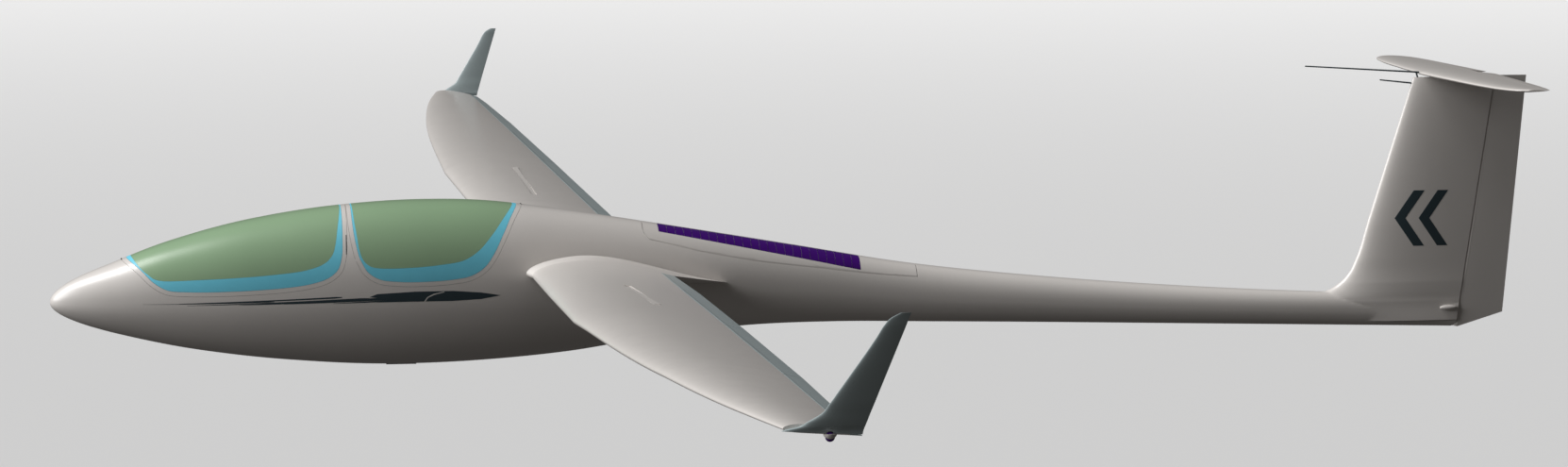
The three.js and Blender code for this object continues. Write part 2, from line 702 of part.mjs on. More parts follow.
function stabilizer() {
  return stabilizerBody
    .subtract(elevatorZone(0.8))
    .subtract(elevatorNose(0.5))
    .subtract(box([2150, -3.2, 300], [2156.4, 3.2, 345]));
}

function elevator() {
  const halves = stabilizerBody.intersect(elevatorZone(0)).subtract(rudderRoom(ELEVATOR_HINGE + 4));
  return halves.add(elevatorNose(0));
}

// ---- Landing gear ----
const arcPlace = (degrees, radius = GEAR_ARM) => {
  const turn = THREE.MathUtils.degToRad(degrees);
  return [GEAR_PIVOT[0] + radius * Math.cos(turn), GEAR_PIVOT[1] + radius * Math.sin(turn)];
};
const [AXLE_X, AXLE_Z] = arcPlace(GEAR_REST_ANGLE);

function wheelRing(profile) {
  const points = profile.map(([radius, y]) => new THREE.Vector2(radius, y));
  points.push(points[0].clone());
  const place = new THREE.Matrix4().makeTranslation(AXLE_X, 0, AXLE_Z);
  return toSolid(new THREE.LatheGeometry(points, 20), place);
}

const mainTyre = () => {
  const half = WHEEL_WIDTH / 2;
  return wheelRing([
    [27, -half * 0.75], [32, -half], [38, -half * 0.9], [42.5, -half * 0.55], [WHEEL_RADIUS, 0],
    [42.5, half * 0.55], [38, half * 0.9], [32, half], [27, half * 0.75],
  ]);
};

const mainHub = () =>
  wheelRing([
    [3.05, -11], [9, -11], [9, -6], [22, -6], [22, -9.5], [26.7, -9.5], [26.7, 9.5], [22, 9.5], [22, 6], [9, 6],
    [9, 11], [3.05, 11],
  ]);

const onArm = (y) => [AXLE_X, y, AXLE_Z];
const onPivot = (y) => [GEAR_PIVOT[0], y, GEAR_PIVOT[1]];

function gearSwingArm() {
  const arms = [-1, 1].map((side) => {
    const near = side * 16.5;
    const far = side * 20;
    const plate = rod(onPivot((near + far) / 2), onArm((near + far) / 2), 5, 4.2, 10);
    const slab = box([560, Math.min(near, far), -200], [860, Math.max(near, far), 100]);
    const pivotEye = rod(onPivot(near), onPivot(far), 7.5, 7.5, 12);
    const axleEye = rod(onArm(near), onArm(far), 6.5, 6.5, 12);
    return plate.intersect(slab).add(pivotEye).add(axleEye);
  });
  const cross = rod(onPivot(-26.5), onPivot(26.5), 4);
  const axle = rod(onArm(-20), onArm(20), 2.95, 2.95, 20);
  return arms[0].add(arms[1]).add(cross).add(axle);
}

// Two cheeks with a cross bar hold the pivot.
function gearFrame() {
  const cheeks = [-1, 1].map((side) => {
    const outline = [[672, -68], [706, -68], [716, -40], [716, 12], [668, 12], [664, -40]];
    return side > 0 ? sidePrism(outline, 22, 25) : sidePrism(outline, -25, -22);
  });
  const bridge = box([664, -25, 2], [672, 25, 12]);
  const feet = [-1, 1].map((side) => sideBox(side, [668, 22, 6], [716, 40, 12]));
  const frame = [...cheeks, ...feet].reduce((whole, piece) => whole.add(piece), bridge);
  return frame.subtract(rod(onPivot(-30), onPivot(30), 4.3));
}

const wellZone = (grow) =>
  box([WELL.front - grow, -WELL.halfWidth - grow, -140], [WELL.rear + grow, WELL.halfWidth + grow, -40]);
const lowerShell = shellBetween(0, SKIN);

function gearDoor(side) {
  const zone = sideBox(side, [WELL.front, GAP / 2, -140], [WELL.rear, WELL.halfWidth, -40]);
  return lowerShell.intersect(zone);
}

// ---- Engine bay ----
function mirrored(edge, grow = 0) {
  const other = [...edge].reverse().slice(1, -1).map(([x, y]) => [x, -y]);
  return inset([...edge, ...other], -grow);
}

function engineDoor(side) {
  const zone = planPrism(mirrored(ENGINE_DOOR_EDGE), 0, 180);
  const half = sideBox(side, [800, GAP / 2, 0], [1400, 90, 180]);
  return lowerShell.intersect(zone).intersect(half).subtract(solarRecess(side, 0.2));
}

// The solar strip is let into the door on each side of the centre line.
const SOLAR = { from: 911, to: 1220, inner: 4, outer: 29, thick: 0.6 };

function solarZone(side, grow) {
  const { from, to, inner, outer } = SOLAR;
  return sideBox(side, [from - grow, inner - grow, 0], [to + grow, outer + grow, 180]);
}

const solarRecess = (side, grow) =>
  hull(-1).subtract(hull(SOLAR.thick + grow, 8, 2150)).intersect(solarZone(side, grow));
const solarStrip = (side) => shellBetween(0, SOLAR.thick).intersect(solarZone(side, 0));

// The folded engine: an arm that carries the motor and a two-blade propeller.
const PYLON = { front: [925, 34], rear: [1270, -2] };

function pylonArm() {
  const [x0, z0] = PYLON.front;
  const [x1, z1] = PYLON.rear;
  const beam = sidePrism([[x0, z0 - 9], [x1, z1 - 6], [x1, z1 + 6], [x0, z0 + 9]], -8, 8);
  const foot = box([x0 - 6, -24, z0 - 5], [x0 + 6, 24, z0 + 5]);
  return beam.add(foot).subtract(box([x1 - 40, -4, -60], [x1 + 10, 4, 60]));
}

const driveMotor = () => rod([PYLON.front[0] + 14, 0, 4], [PYLON.front[0] + 74, 0, -2], 15, 15, 20);

function propeller() {
  const blade = (toX, toZ) =>
    loft(
      [0, 0.2, 0.6, 1].map((t) => {
        const width = [7, 13, 12, 4][Math.round(t * 3)];
        const thick = mix(4, 1.5, t);
        const x = mix(1120, toX, t);
        const z = mix(42, toZ, t);
        return [
          new THREE.Vector3(x, width, z), new THREE.Vector3(x, 0, z + thick / 2),
          new THREE.Vector3(x, -width, z), new THREE.Vector3(x, 0, z - thick / 2),
        ];
      }),
    );
  const hubBody = rod([1120, 0, 36], [1120, 0, 47], 8, 8, 16);
  return hubBody.add(blade(965, 61)).add(blade(1262, 25));
}

// ---- Cockpits ----
function cockpitTub(from, to, floor, rim) {
  const wall = 1.8;
  const outer = box([from, -120, floor], [to, 120, rim]);
  const inner = box([from + wall, -120, floor + wall], [to - wall, 120, rim + 5]);
  const outside = hull(SKIN + 1.2, 8, 2150).intersect(outer);
  return outside.subtract(hull(SKIN + 2.8, 8, 2150).intersect(inner));
}

// ---- Fuselage shells ----
function fuselage() {
  let body = outerHull.subtract(hull(SKIN, 8, 2080));
  body = body.add(fin());
  body = body.subtract(behindRudderHinge(-120, 400)).subtract(rudderRod(1, -90, 330));
  body = body.subtract(sidePrism(inset(frontSeam(), -GAP / 2), -120, 120));
  body = body.subtract(sidePrism(inset(rearSeam(), -GAP / 2), -120, 120));
  body = body.subtract(wellZone(GAP));
  body = body.subtract(planPrism(mirrored(ENGINE_DOOR_EDGE, GAP), 12, 180));
  body = body.subtract(joinerRod(0.3));
  body = body.subtract(hingeNotch(FRONT_HINGE)).subtract(hingeNotch(REAR_HINGE));
  for (const probe of [energyProbe(0.3), pitotProbe(0.3), hornFairing(0.3)]) body = body.subtract(probe);
  return body.subtract(wearPlate(0.3)).subtract(rod([2130, 0, 280], [2130, 0, 330], 1.9, 1.9, 12));
}

function half(body, side) {
  const kept = sideBox(side, [-10, 0.15, -150], [2400, 150, 400]);
  const pieces = body.intersect(kept).decompose();
  return pieces.sort((a, b) => b.volume() - a.volume())[0];
}

// ---- Probes, plate and equipment ----
const energyProbe = (grow = 0) =>
  rod([1917, 0, 335], [2096, 0, 324.2], 1 + grow, 1.3 + grow, 10).add(
    rod([2092, 0, 324.4], [2098, 0, 306], 1.3 + grow, 1.3 + grow, 10),
  );
const pitotProbe = (grow = 0) => rod([2035.5, 0, 312.8], [2094, 0, 306.5], 1 + grow, 1.3 + grow, 10);

function hornFairing(grow = 0) {
  const place = new THREE.Matrix4().makeScale(1, 0.36, 0.3).setPosition(2145.5, -11, -41);
  return toSolid(new THREE.SphereGeometry(14 + grow, 12, 8), place);
}

const WEAR_PLATE = { from: 500, to: 545, halfWidth: 11, thick: 2.4 };
const wearPlate = (grow = 0) => {
  const { from, to, halfWidth, thick } = WEAR_PLATE;
  return box(
    [from - grow, -halfWidth - grow, -REST_DEPTH],
    [to + grow, halfWidth + grow, -REST_DEPTH + thick + grow],
  );
};

// ---- The model ----
const airframe = new THREE.Group();
airframe.position.set(-LENGTH / 2, 0, REST_DEPTH);

const PAINTS = {
  white: { color: 0xf4f2ee, roughness: 0.3, metalness: 0 },
  greyBlue: { color: 0x778183, roughness: 0.4, metalness: 0 },
  slate: { color: 0x5a6669, roughness: 0.4, metalness: 0 },
  glass: { color: 0x98b194, roughness: 0.1, metalness: 0, transparent: true, opacity: 0.6 },
  blue: { color: 0x5190a6, roughness: 0.5, metalness: 0 },
  black: { color: 0x1b1d1f, roughness: 0.6, metalness: 0 },
  metal: { color: 0xb4b6b8, roughness: 0.35, metalness: 0.9 },
  purple: { color: 0x340458, roughness: 0.3, metalness: 0 },
  wood: { color: 0xc79a62, roughness: 0.6, metalness: 0 },
};

function place(name, solid, paint) {
  const mesh = new THREE.Mesh(toGeometry(solid), new THREE.MeshStandardMaterial(PAINTS[paint]));
  mesh.name = name;
  airframe.add(mesh);
}

const SIDES = [["left", -1], ["right", 1]];

function addFuselage() {
  const body = fuselage();
  place("fuselage_left_shell", half(body, -1), "white");
  place("fuselage_right_shell", half(body, 1), "white");
  place("front_cockpit_tub", cockpitTub(150, 428, -62, 7), "blue");
  place("rear_cockpit_tub", cockpitTub(458, 636, -40, 14), "blue");
  place("belly_wear_plate", wearPlate(), "black");
}

function addCanopies() {
  const canopies = [
    { name: "front", seam: frontSeam(), hinge: FRONT_HINGE },
    { name: "rear", seam: rearSeam(), hinge: REAR_HINGE },
  ];
  for (const { name, seam, hinge } of canopies) {
    place(`${name}_canopy_frame`, canopyFrame(seam, hinge), "white");
    place(`${name}_canopy_glass`, canopyGlass(seam), "glass");
    place(`${name}_canopy_rim`, canopyRim(seam), "blue");
    const [x, z] = hinge;
    place(`${name}_canopy_hinge_pin`, rod([x, -6.5, z], [x, 6.5, z], 0.9), "metal");
  }
}

function addWings() {
  place("wing_joiner", joinerRod(0), "metal");
  for (const [word, side] of SIDES) {
    place(`wing_${word}`, wing(side), "white");
    for (const surface of SURFACES) {
      place(`${surface.name}_${word}`, controlSurface(surface, side), "greyBlue");
    }
    place(`airbrake_${word}`, airbrake(side), "white");
    for (const { name, span } of SERVOS) {
      place(`${name}_${word}`, servoBox(span, side, 0, 0, SERVO_SIZE.height), "black");
    }
    place(`winglet_${word}`, winglet(side), "slate");
    place(`tip_wheel_fairing_${word}`, tipFairing(side), "white");
    place(`tip_wheel_${word}`, tipWheel(side), "purple");
  }
}

function addTail() {
  place("rudder", rudder(), "white");
  place("horizontal_stabilizer", stabilizer(), "white");
  place("elevator", elevator(), "white");
  place("energy_probe", energyProbe(), "black");
  place("pitot_probe", pitotProbe(), "black");
  place("rudder_horn_fairing", hornFairing(), "white");
}

function addGear() {
  place("gear_frame", gearFrame(), "metal");
  place("gear_swing_arm", gearSwingArm(), "metal");
  place("main_tyre", mainTyre(), "black");
  place("main_hub", mainHub(), "metal");
  for (const [word, side] of SIDES) place(`gear_door_${word}`, gearDoor(side), "white");
}

function addEngine() {
  for (const [word, side] of SIDES) {
    place(`engine_door_${word}`, engineDoor(side), "white");
    place(`solar_strip_${word}`, solarStrip(side), "purple");
  }
  place("pylon_arm", pylonArm(), "black");
  place("drive_motor", driveMotor(), "metal");
  place("propeller", propeller(), "wood");
}

function addEquipment() {
  place("battery_pack", box([60, -16, -30], [118, 16, 2]), "black");
  place("receiver", box([830, -14, -50], [878, 14, -38]), "black");
  place("rudder_servo", box([1330, -10, -34], [1370, 10, -18]), "black");
  place("elevator_servo", box([1380, -10, -34], [1420, 10, -18]), "black");
}

addFuselage();
addCanopies();
addWings();
addTail();
addGear();
addEngine();
addEquipment();

export default airframe;
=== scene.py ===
"""Looks of a 1:4 scale radio-controlled two-seat sailplane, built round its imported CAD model.

Every length is in millimetres from the nose tip: X aft, Y to starboard, Z up. place() is the one step
that moves a finished mesh to the shared frame in metres.
"""
from math import atan, cos, pi, radians, sin

import bmesh
import bpy
import numpy as np
from mathutils import Matrix, Vector


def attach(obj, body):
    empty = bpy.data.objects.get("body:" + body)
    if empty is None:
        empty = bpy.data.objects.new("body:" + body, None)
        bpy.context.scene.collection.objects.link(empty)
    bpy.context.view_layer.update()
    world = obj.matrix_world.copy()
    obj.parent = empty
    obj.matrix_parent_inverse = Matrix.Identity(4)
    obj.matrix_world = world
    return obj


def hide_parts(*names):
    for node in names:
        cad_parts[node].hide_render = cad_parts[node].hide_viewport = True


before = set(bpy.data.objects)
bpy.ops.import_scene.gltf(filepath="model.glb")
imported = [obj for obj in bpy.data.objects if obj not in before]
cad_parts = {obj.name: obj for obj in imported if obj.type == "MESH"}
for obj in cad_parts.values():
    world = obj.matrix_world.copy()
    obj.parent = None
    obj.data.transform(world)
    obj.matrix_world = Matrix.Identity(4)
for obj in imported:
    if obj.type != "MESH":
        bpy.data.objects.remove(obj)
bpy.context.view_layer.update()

# ---- Driving dimensions, the same as the CAD's ----
LENGTH = 2267.5
REST_DEPTH = 100.6
SKIN = 2.2
GAP = 0.4
DOOR_GAP = 0.8  # around the engine doors, whose edges swing down as they open
BAY_FOOT = 4  # the engine bay's opening is cut down to this height
SECTION_POWER = 2.2
WAIST = 0.46  # height of the widest line between keel and crown
BESIDE = 120  # any distance from the centre line that is beyond the fuselage's side

CROWN = [
    (0, 0), (8, 15.5), (38, 35.5), (94, 58.7), (178, 90), (305, 122.4), (432, 140.6), (560, 147.4),
    (645, 145), (773, 128.5), (945, 100.7), (1119, 71), (1294, 41), (1499, 17.4), (1796, -6.2), (2160, -23),
]
KEEL = [
    (0, 0), (8, -13), (38, -29), (115, -52), (220, -74), (348, -90.5), (517, -100), (645, -96.5), (773, -86),
    (945, -60.7), (1061, -50.3), (1177, -47.6), (1352, -50.6), (1796, -61.5), (2160, -71),
]
BREADTH = [
    (0, 0), (8, 13.5), (38, 30), (94, 48), (178, 66), (305, 83.5), (450, 92.5), (560, 93), (690, 86),
    (831, 68), (1003, 49), (1180, 38), (1500, 30), (1950, 20), (2160, 10),
]

# Wing planform: span station, leading edge, hinge line, trailing edge, height of the leading edge,
# and how far the root fillet droops behind.
WING_KNOTS = np.array([
    (46, 702, 904, 1014, 46.5, 26.8), (62, 701, 904, 999.5, 45, 21.9), (78, 703, 904, 985, 42, 15.5),
    (98, 712.4, 904, 966.8, 39.6, 8.8), (150, 710, 901.2, 919.7, 42.4, 0),
    (600, 689.6, 877.1, 902.3, 66.9, 0), (1112, 672.5, 858, 882.6, 90.1, 0),
    (1250, 674.4, 852.8, 877.3, 96.4, 0), (1900, 697.1, 834.8, 857.3, 119.2, 0),
    (2300, 734, 827.5, 844.3, 129.9, 0), (2447.5, 755, 824.8, 838, 132.8, 0),
])
STRAIGHT_ROOT = 6  # knots up to this one are joined by straight lines
WING_TIP = 2447.5
WING_CAMBER = 0.03
ROOT_CHORD = 222  # the root fillet is no thicker than a section of this chord
SURFACES = {
    "inner_flap": (151, 599), "outer_flap": (601, 1249), "inner_aileron": (1251, 1899),
    "outer_aileron": (1901, 2299),
}
AIRBRAKE = {"from": 690, "to": 1050, "x": 789, "depth": 15}
STRIP_START = 2301  # the trailing edge is painted from here to the tip
ROOT_GAP = 0.3  # between the wing's root and the fuselage's skin

FIN_LEAD = [
    (-60, 1990), (-24, 1925), (-17, 1945), (-10, 1961), (0, 1976), (14, 1989), (36, 2000), (96, 2018.6),
    (200, 2051), (316, 2087.5),
]
FIN_TOP = 316.2
RUDDER_TOP = 318.7
RUDDER_HINGE = ((2160.7, -71), (2218.6, 314))
RUDDER_TRAIL = ((2234.5, -50), (2267.5, 318.7))
RUDDER_NOSE = (7.4, 4.4)
RUDDER_REVEAL = 3.5  # how much of the rudder's round nose shows ahead of its hinge line
TAIL_HEIGHT = 322.5
TAIL_THICKNESS = 0.1
STABILIZER_KNOTS = np.array([
    (0, 2098, 2212), (150, 2105, 2205.5), (300, 2115, 2198), (350, 2122.5, 2194), (380, 2132, 2190),
    (393, 2140.5, 2187), (400, 2153, 2182),
])
ELEVATOR_HINGE = 2180
ELEVATOR_SPAN = 375

GEAR_PIVOT = (690, -50)
GEAR_ARM = 60
WHEEL_RADIUS = 44
WHEEL_WIDTH = 27
WELL = {"front": 643, "rear": 799, "half": 35, "low": -140, "high": -40}
AXLE = (
    GEAR_PIVOT[0] + GEAR_ARM * cos(radians(45)),
    GEAR_PIVOT[1] + GEAR_ARM * sin(radians(45)),
)

ENGINE_DOOR_EDGE = [
    (887, 0), (887, 30), (889, 37), (896, 41.5), (969, 41), (1056, 38), (1158, 33), (1307, 27), (1307, 0),
]
SOLAR = {"from": 911, "to": 1220, "inner": 4, "outer": 29, "thick": 0.6, "cells": 24}
CELL_GAP = 0.7
CELL_PROUD = 0.1
SIDES = {"left": -1, "right": 1}


# ---- Curves ----
def hermite(knots, values, where):
    """A smooth curve through the values, evaluated at each place."""
    knots, values = np.asarray(knots, float), np.asarray(values, float)
    step = np.diff(knots)
    rise = np.diff(values) / step
    slope = np.empty_like(values)
    slope[0], slope[-1] = rise[0], rise[-1]
    slope[1:-1] = (rise[:-1] * step[1:] + rise[1:] * step[:-1]) / (step[1:] + step[:-1])
    i = np.clip(np.searchsorted(knots, where, side="right") - 1, 0, len(step) - 1)
    t = (where - knots[i]) / step[i]
    return (
        (2 * t**3 - 3 * t**2 + 1) * values[i]
        + (t**3 - 2 * t**2 + t) * step[i] * slope[i]
        + (3 * t**2 - 2 * t**3) * values[i + 1]
        + (t**3 - t**2) * step[i] * slope[i + 1]
    )


def outline(points, x):
    """A fuselage outline, smooth even at the blunt nose."""
    points = np.array(points, float)
    return hermite(np.sqrt(points[:, 0]), points[:, 1], np.sqrt(np.maximum(x, 0)))


def spline(points, count):
    """Points spread along a smooth curve through the given ones."""
    points = np.array(points, float)
    lengths = np.linalg.norm(np.diff(points, axis=0), axis=1)
    along = np.concatenate([[0], np.cumsum(np.sqrt(lengths))])
    where = np.linspace(0, along[-1], count)
    return np.stack([hermite(along, column, where) for column in points.T], axis=1)


def mix(a, b, t):
    return a + (b - a) * t


def signed_power(value, power):
    return np.sign(value) * np.abs(value) ** power


def full_turn(count):
    """Angles spread evenly round a circle."""
    return np.linspace(0, 2 * pi, count, endpoint=False)


def points_at(x, y, z):
    """Points from their coordinates: each is an array, or one value for all of them."""
    return np.stack(np.broadcast_arrays(x, y, z), axis=1)


# ---- Meshes ----
def new_mesh(points, faces):
    """A closed mesh with its faces turned outwards."""
    mesh = bpy.data.meshes.new("form")
    mesh.from_pydata([tuple(point) for point in points], [], [list(face) for face in faces])
    work = bmesh.new()
    work.from_mesh(mesh)
    if work.calc_volume(signed=True) < 0:
        bmesh.ops.reverse_faces(work, faces=work.faces)
        work.to_mesh(mesh)
    work.free()
    return mesh


def show(item):
    """Put a new object in the scene."""
    bpy.context.scene.collection.objects.link(item)
    return item


def loft(rings, closed=False):
    """A skin through rings of equal point count: a fan closes each end, unless the rings form a loop."""
    rings = np.asarray(rings, float)
    stations, count = rings.shape[:2]
    here = np.arange(count)
    there = (here + 1) % count
    faces = []
    for r in range(stations if closed else stations - 1):
        a, b = r * count, (r + 1) % stations * count
        faces.append(np.stack([a + here, a + there, b + there, b + here], axis=1))
    faces = np.concatenate(faces).tolist()
    points = rings.reshape(-1, 3)
    if not closed:
        centres = [rings[0].mean(axis=0), rings[-1].mean(axis=0)]
        points = np.concatenate([points, centres])
        first, last = stations * count, stations * count + 1
        end = (stations - 1) * count
        faces += np.stack([here, np.full(count, first), there], axis=1).tolist()
        faces += np.stack([end + here, end + there, np.full(count, last)], axis=1).tolist()
    return new_mesh(points, faces)


def prism(outline_points, low, high, plane="side"):
    """A flat outline carried across the model ("side": points are x, z) or up it ("plan": x, y)."""
    flat = np.asarray(outline_points, float)
    ends = []
    for level in (low, high):
        third = np.full((len(flat), 1), float(level))
        parts = [flat[:, :1], third, flat[:, 1:]] if plane == "side" else [flat[:, :1], flat[:, 1:], third]
        ends.append(np.concatenate(parts, axis=1))
    count = len(flat)
    here = np.arange(count)
    there = (here + 1) % count
    walls = np.stack([here, there, there + count, here + count], axis=1).tolist()
    return new_mesh(np.concatenate(ends), walls + [here[::-1].tolist(), (here + count).tolist()])


def block(low, high):
    corners = [(low[0], low[1]), (high[0], low[1]), (high[0], high[1]), (low[0], high[1])]
    return prism(corners, low[2], high[2], "plan")


def side_block(side, low, high):
    """A block on one side: its Y values are distances from the centre line."""
    near, far = sorted((side * low[1], side * high[1]))
    return block((low[0], near, low[2]), (high[0], far, high[2]))


def rod(start, end, radius, end_radius=None, sides=32, round_ends=False):
    """A round bar or cone between two points."""
    start, end = np.array(start, float), np.array(end, float)
    axis = end - start
    length = np.linalg.norm(axis)
    axis /= length
    across = np.cross(axis, (0, 0, 1) if abs(axis[2]) < 0.9 else (1, 0, 0))
    across /= np.linalg.norm(across)
    third = np.cross(axis, across)
    end_radius = radius if end_radius is None else end_radius
    angle = full_turn(sides)[:, None]
    circle = np.cos(angle) * across + np.sin(angle) * third
    profile = [(0, radius), (length, end_radius)]
    if round_ends:
        bow = np.linspace(0, pi / 2, 7)
        out, wide = np.cos(bow), np.maximum(np.sin(bow), 0.03)
        front = list(zip(-radius * out[:-1], radius * wide[:-1]))
        back = list(zip(length + end_radius * out[-2::-1], end_radius * wide[-2::-1]))
        profile = front + profile + back
    return loft([start + axis * along + circle * r for along, r in profile])


def lathe(profile, centre, axis="y", sides=96):
    """A closed [radius, along] profile turned about an axis through the centre."""
    angle = full_turn(sides)
    rings = []
    for a in angle:
        ring = []
        for radius, along in profile:
            u, v = radius * cos(a), radius * sin(a)
            offset = {"x": (along, u, v), "y": (u, along, v), "z": (u, v, along)}[axis]
            ring.append(np.add(centre, offset))
        rings.append(ring)
    return loft(rings, closed=True)


def boolean(base, tool, operation):
    """The union, difference or intersection of two closed meshes, as a new mesh."""
    body = bpy.data.objects.new("boolean_body", base)
    other = bpy.data.objects.new("boolean_tool", tool)
    show(body)
    show(other)
    modifier = body.modifiers.new("combine", "BOOLEAN")
    modifier.object = other
    modifier.operation = operation
    modifier.solver = "MANIFOLD"
    bpy.context.view_layer.update()
    shown = body.evaluated_get(bpy.context.evaluated_depsgraph_get())
    result = bpy.data.meshes.new_from_object(shown)
    for item in (body, other):
        bpy.data.objects.remove(item)
    return result


def cut(base, *tools):
    for tool in tools:
        base = boolean(base, tool, "DIFFERENCE")
    return base


def meet(base, *tools):
    for tool in tools:
        base = boolean(base, tool, "INTERSECT")
    return base


def join(base, *tools):
    for tool in tools:
        base = boolean(base, tool, "UNION")
    return base


def gather(meshes):
    """Several closed meshes in one, without merging them."""
    work = bmesh.new()
    for mesh in meshes:
        work.from_mesh(mesh)
    result = bpy.data.meshes.new("group")
    work.to_mesh(result)
    work.free()
    return result


def place(name, mesh, finish, nodes=(), body="airframe", sharp=32, bevel=0.0):
    """Show a finished mesh: in metres, smooth between its sharp edges, riding on its body."""
    mesh = mesh.copy()
    mesh.transform(Matrix.Translation((-LENGTH / 2000, 0, REST_DEPTH / 1000)) @ Matrix.Scale(0.001, 4))
    if bevel:
        work = bmesh.new()
        work.from_mesh(mesh)
        edges = [e for e in work.edges if e.calc_face_angle(0) > radians(sharp)]
        bmesh.ops.bevel(work, geom=edges, offset=bevel / 1000, segments=2, affect="EDGES", clamp_overlap=True)
        work.to_mesh(mesh)
        work.free()
    mesh.polygons.foreach_set("use_smooth", [True] * len(mesh.polygons))
    mesh.set_sharp_from_angle(angle=radians(sharp))
    mesh.name = name
    piece = show(bpy.data.objects.new(name, mesh))
    mesh.materials.clear()
    mesh.materials.append(finish)
    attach(piece, body)
    if nodes:
        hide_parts(*nodes)
    return piece


def add_node(tree, kind, values=(), **settings):
    """A shader node with its settings and the values of its sockets."""
    made = tree.nodes.new("ShaderNode" + kind)
    for setting, value in settings.items():
        setattr(made, setting, value)
    for socket, value in dict(values).items():
        made.inputs[socket].default_value = value
    return made


def principled(name):
    made = bpy.data.materials.new(name)
    made.use_nodes = True
    return made, made.node_tree, made.node_tree.nodes["Principled BSDF"]


def material(name, slot, color, roughness, grain, stretch=(1, 1, 1), **sockets):
    """A Principled surface that a grain (scale, depth in mm, colour and roughness change) varies finely."""
    made, tree, shader = principled(name)
    link = tree.links.new
    shader.inputs["Base Color"].default_value = (*color, 1)
    shader.inputs["Roughness"].default_value = roughness
    for socket, value in sockets.items():
        shader.inputs[socket.replace("_", " ")].default_value = value
    scale, depth, tint, gloss = grain
    where = add_node(tree, "TexCoord")
    drawn_out = add_node(tree, "VectorMath", {1: stretch}, operation="MULTIPLY")
    link(where.outputs["Object"], drawn_out.inputs[0])
    noise = add_node(tree, "TexNoise", {"Scale": scale, "Detail": 4})
    link(drawn_out.outputs["Vector"], noise.inputs["Vector"])
    darker = (*[c * (1 - tint) for c in color], 1)
    lighter = (*[min(c * (1 + tint), 1) for c in color], 1)
    ramp = add_node(tree, "Mix", {"A": darker, "B": lighter}, data_type="RGBA")
    link(noise.outputs["Fac"], ramp.inputs["Factor"])
    link(ramp.outputs["Result"], shader.inputs["Base Color"])
    spread = add_node(tree, "MapRange", {"To Min": roughness - gloss, "To Max": roughness + gloss})
    link(noise.outputs["Fac"], spread.inputs["Value"])
    link(spread.outputs["Result"], shader.inputs["Roughness"])
    if depth:
        bump = add_node(tree, "Bump", {"Strength": 1, "Distance": depth / 1000})
        link(noise.outputs["Fac"], bump.inputs["Height"])
        link(bump.outputs["Normal"], shader.inputs["Normal"])
    return made


GELCOAT = material(
    "gelcoat_white", "white", (0.83, 0.79, 0.755), 0.36, (45, 0.01, 0.012, 0.04),
    Specular_IOR_Level=0.8, Coat_Weight=0.6, Coat_Roughness=0.22,
)
GREY_BLUE = material(
    "paint_grey_blue", "grey_blue", (0.42, 0.49, 0.50), 0.4, (60, 0.01, 0.03, 0.05),
    Coat_Weight=0.3, Coat_Roughness=0.25,
)
SLATE = material(
    "paint_slate", "slate", (0.40, 0.47, 0.48), 0.4, (60, 0.01, 0.03, 0.05),
    Coat_Weight=0.3, Coat_Roughness=0.25,
)
CANOPY = material(
    "canopy_green", "canopy_green", (0.36, 0.54, 0.33), 0.3, (8, 0, 0.03, 0.03),
    Alpha=0.9, Coat_Weight=0.5, Coat_Roughness=0.3,
)
RIM_BLUE = material("canopy_rim_blue", "cockpit_blue", (0.20, 0.74, 0.95), 0.42, (50, 0.01, 0.04, 0.05))
COCKPIT_BLUE = material("cockpit_blue", "cockpit_blue", (0.14, 0.36, 0.45), 0.6, (300, 0.05, 0.06, 0.05))
DECAL = material("decal_slate", "black", (0.035, 0.058, 0.07), 0.45, (80, 0, 0.1, 0.04))
PLASTIC = material("plastic_black", "black", (0.02, 0.021, 0.023), 0.5, (400, 0.05, 0.1, 0.06))
CARBON = material(
    "carbon_black", "black", (0.016, 0.017, 0.019), 0.35, (500, 0.02, 0.25, 0.08),
    Coat_Weight=0.4,
)
METAL = material(
    "metal_aluminium", "metal", (0.62, 0.63, 0.64), 0.34, (250, 0.01, 0.06, 0.06),
    Metallic=1.0,
)
STEEL = material("metal_steel", "steel", (0.5, 0.5, 0.51), 0.28, (300, 0.01, 0.06, 0.06), Metallic=1.0)
RUBBER = material("rubber_tyre", "tyre", (0.018, 0.018, 0.019), 0.75, (350, 0.08, 0.15, 0.06))
PURPLE = material("solar_purple", "purple", (0.06, 0.003, 0.2), 0.3, (120, 0, 0.12, 0.05), Coat_Weight=0.2)
WOOD = material(
    "propeller_wood", "wood", (0.46, 0.26, 0.12), 0.38, (700, 0.02, 0.4, 0.06), stretch=(0.06, 1, 1),
    Coat_Weight=0.5,
)
SEAT_GREY = material("seat_grey", "cockpit_blue", (0.33, 0.37, 0.40), 0.5, (260, 0.04, 0.05, 0.06))
DIAL = material("dial_pale", "white", (0.72, 0.72, 0.68), 0.4, (200, 0, 0.03, 0.03))


# ---- Fuselage form ----
def hull_ring(x, inset=0.0, count=128):
    crown, keel = outline(CROWN, x), outline(KEEL, x)
    waist = mix(keel, crown, WAIST)
    half = max(outline(BREADTH, x) - inset, 0.5)
    angle = full_turn(count)
    across, up = np.cos(angle), np.sin(angle)
    reach = np.where(up > 0, max(crown - waist - inset, 0.5), max(waist - keel - inset, 0.5))
    y = half * signed_power(across, 2 / SECTION_POWER)
    z = waist + reach * signed_power(up, 2 / SECTION_POWER)
    return points_at(x, y, z)


def hull(inset=0, start=0.4, end=2192, stations=260, count=128):
    steps = np.linspace(0, 1, stations) ** 1.5
    return loft([hull_ring(x, inset, count) for x in mix(start, end, steps)])


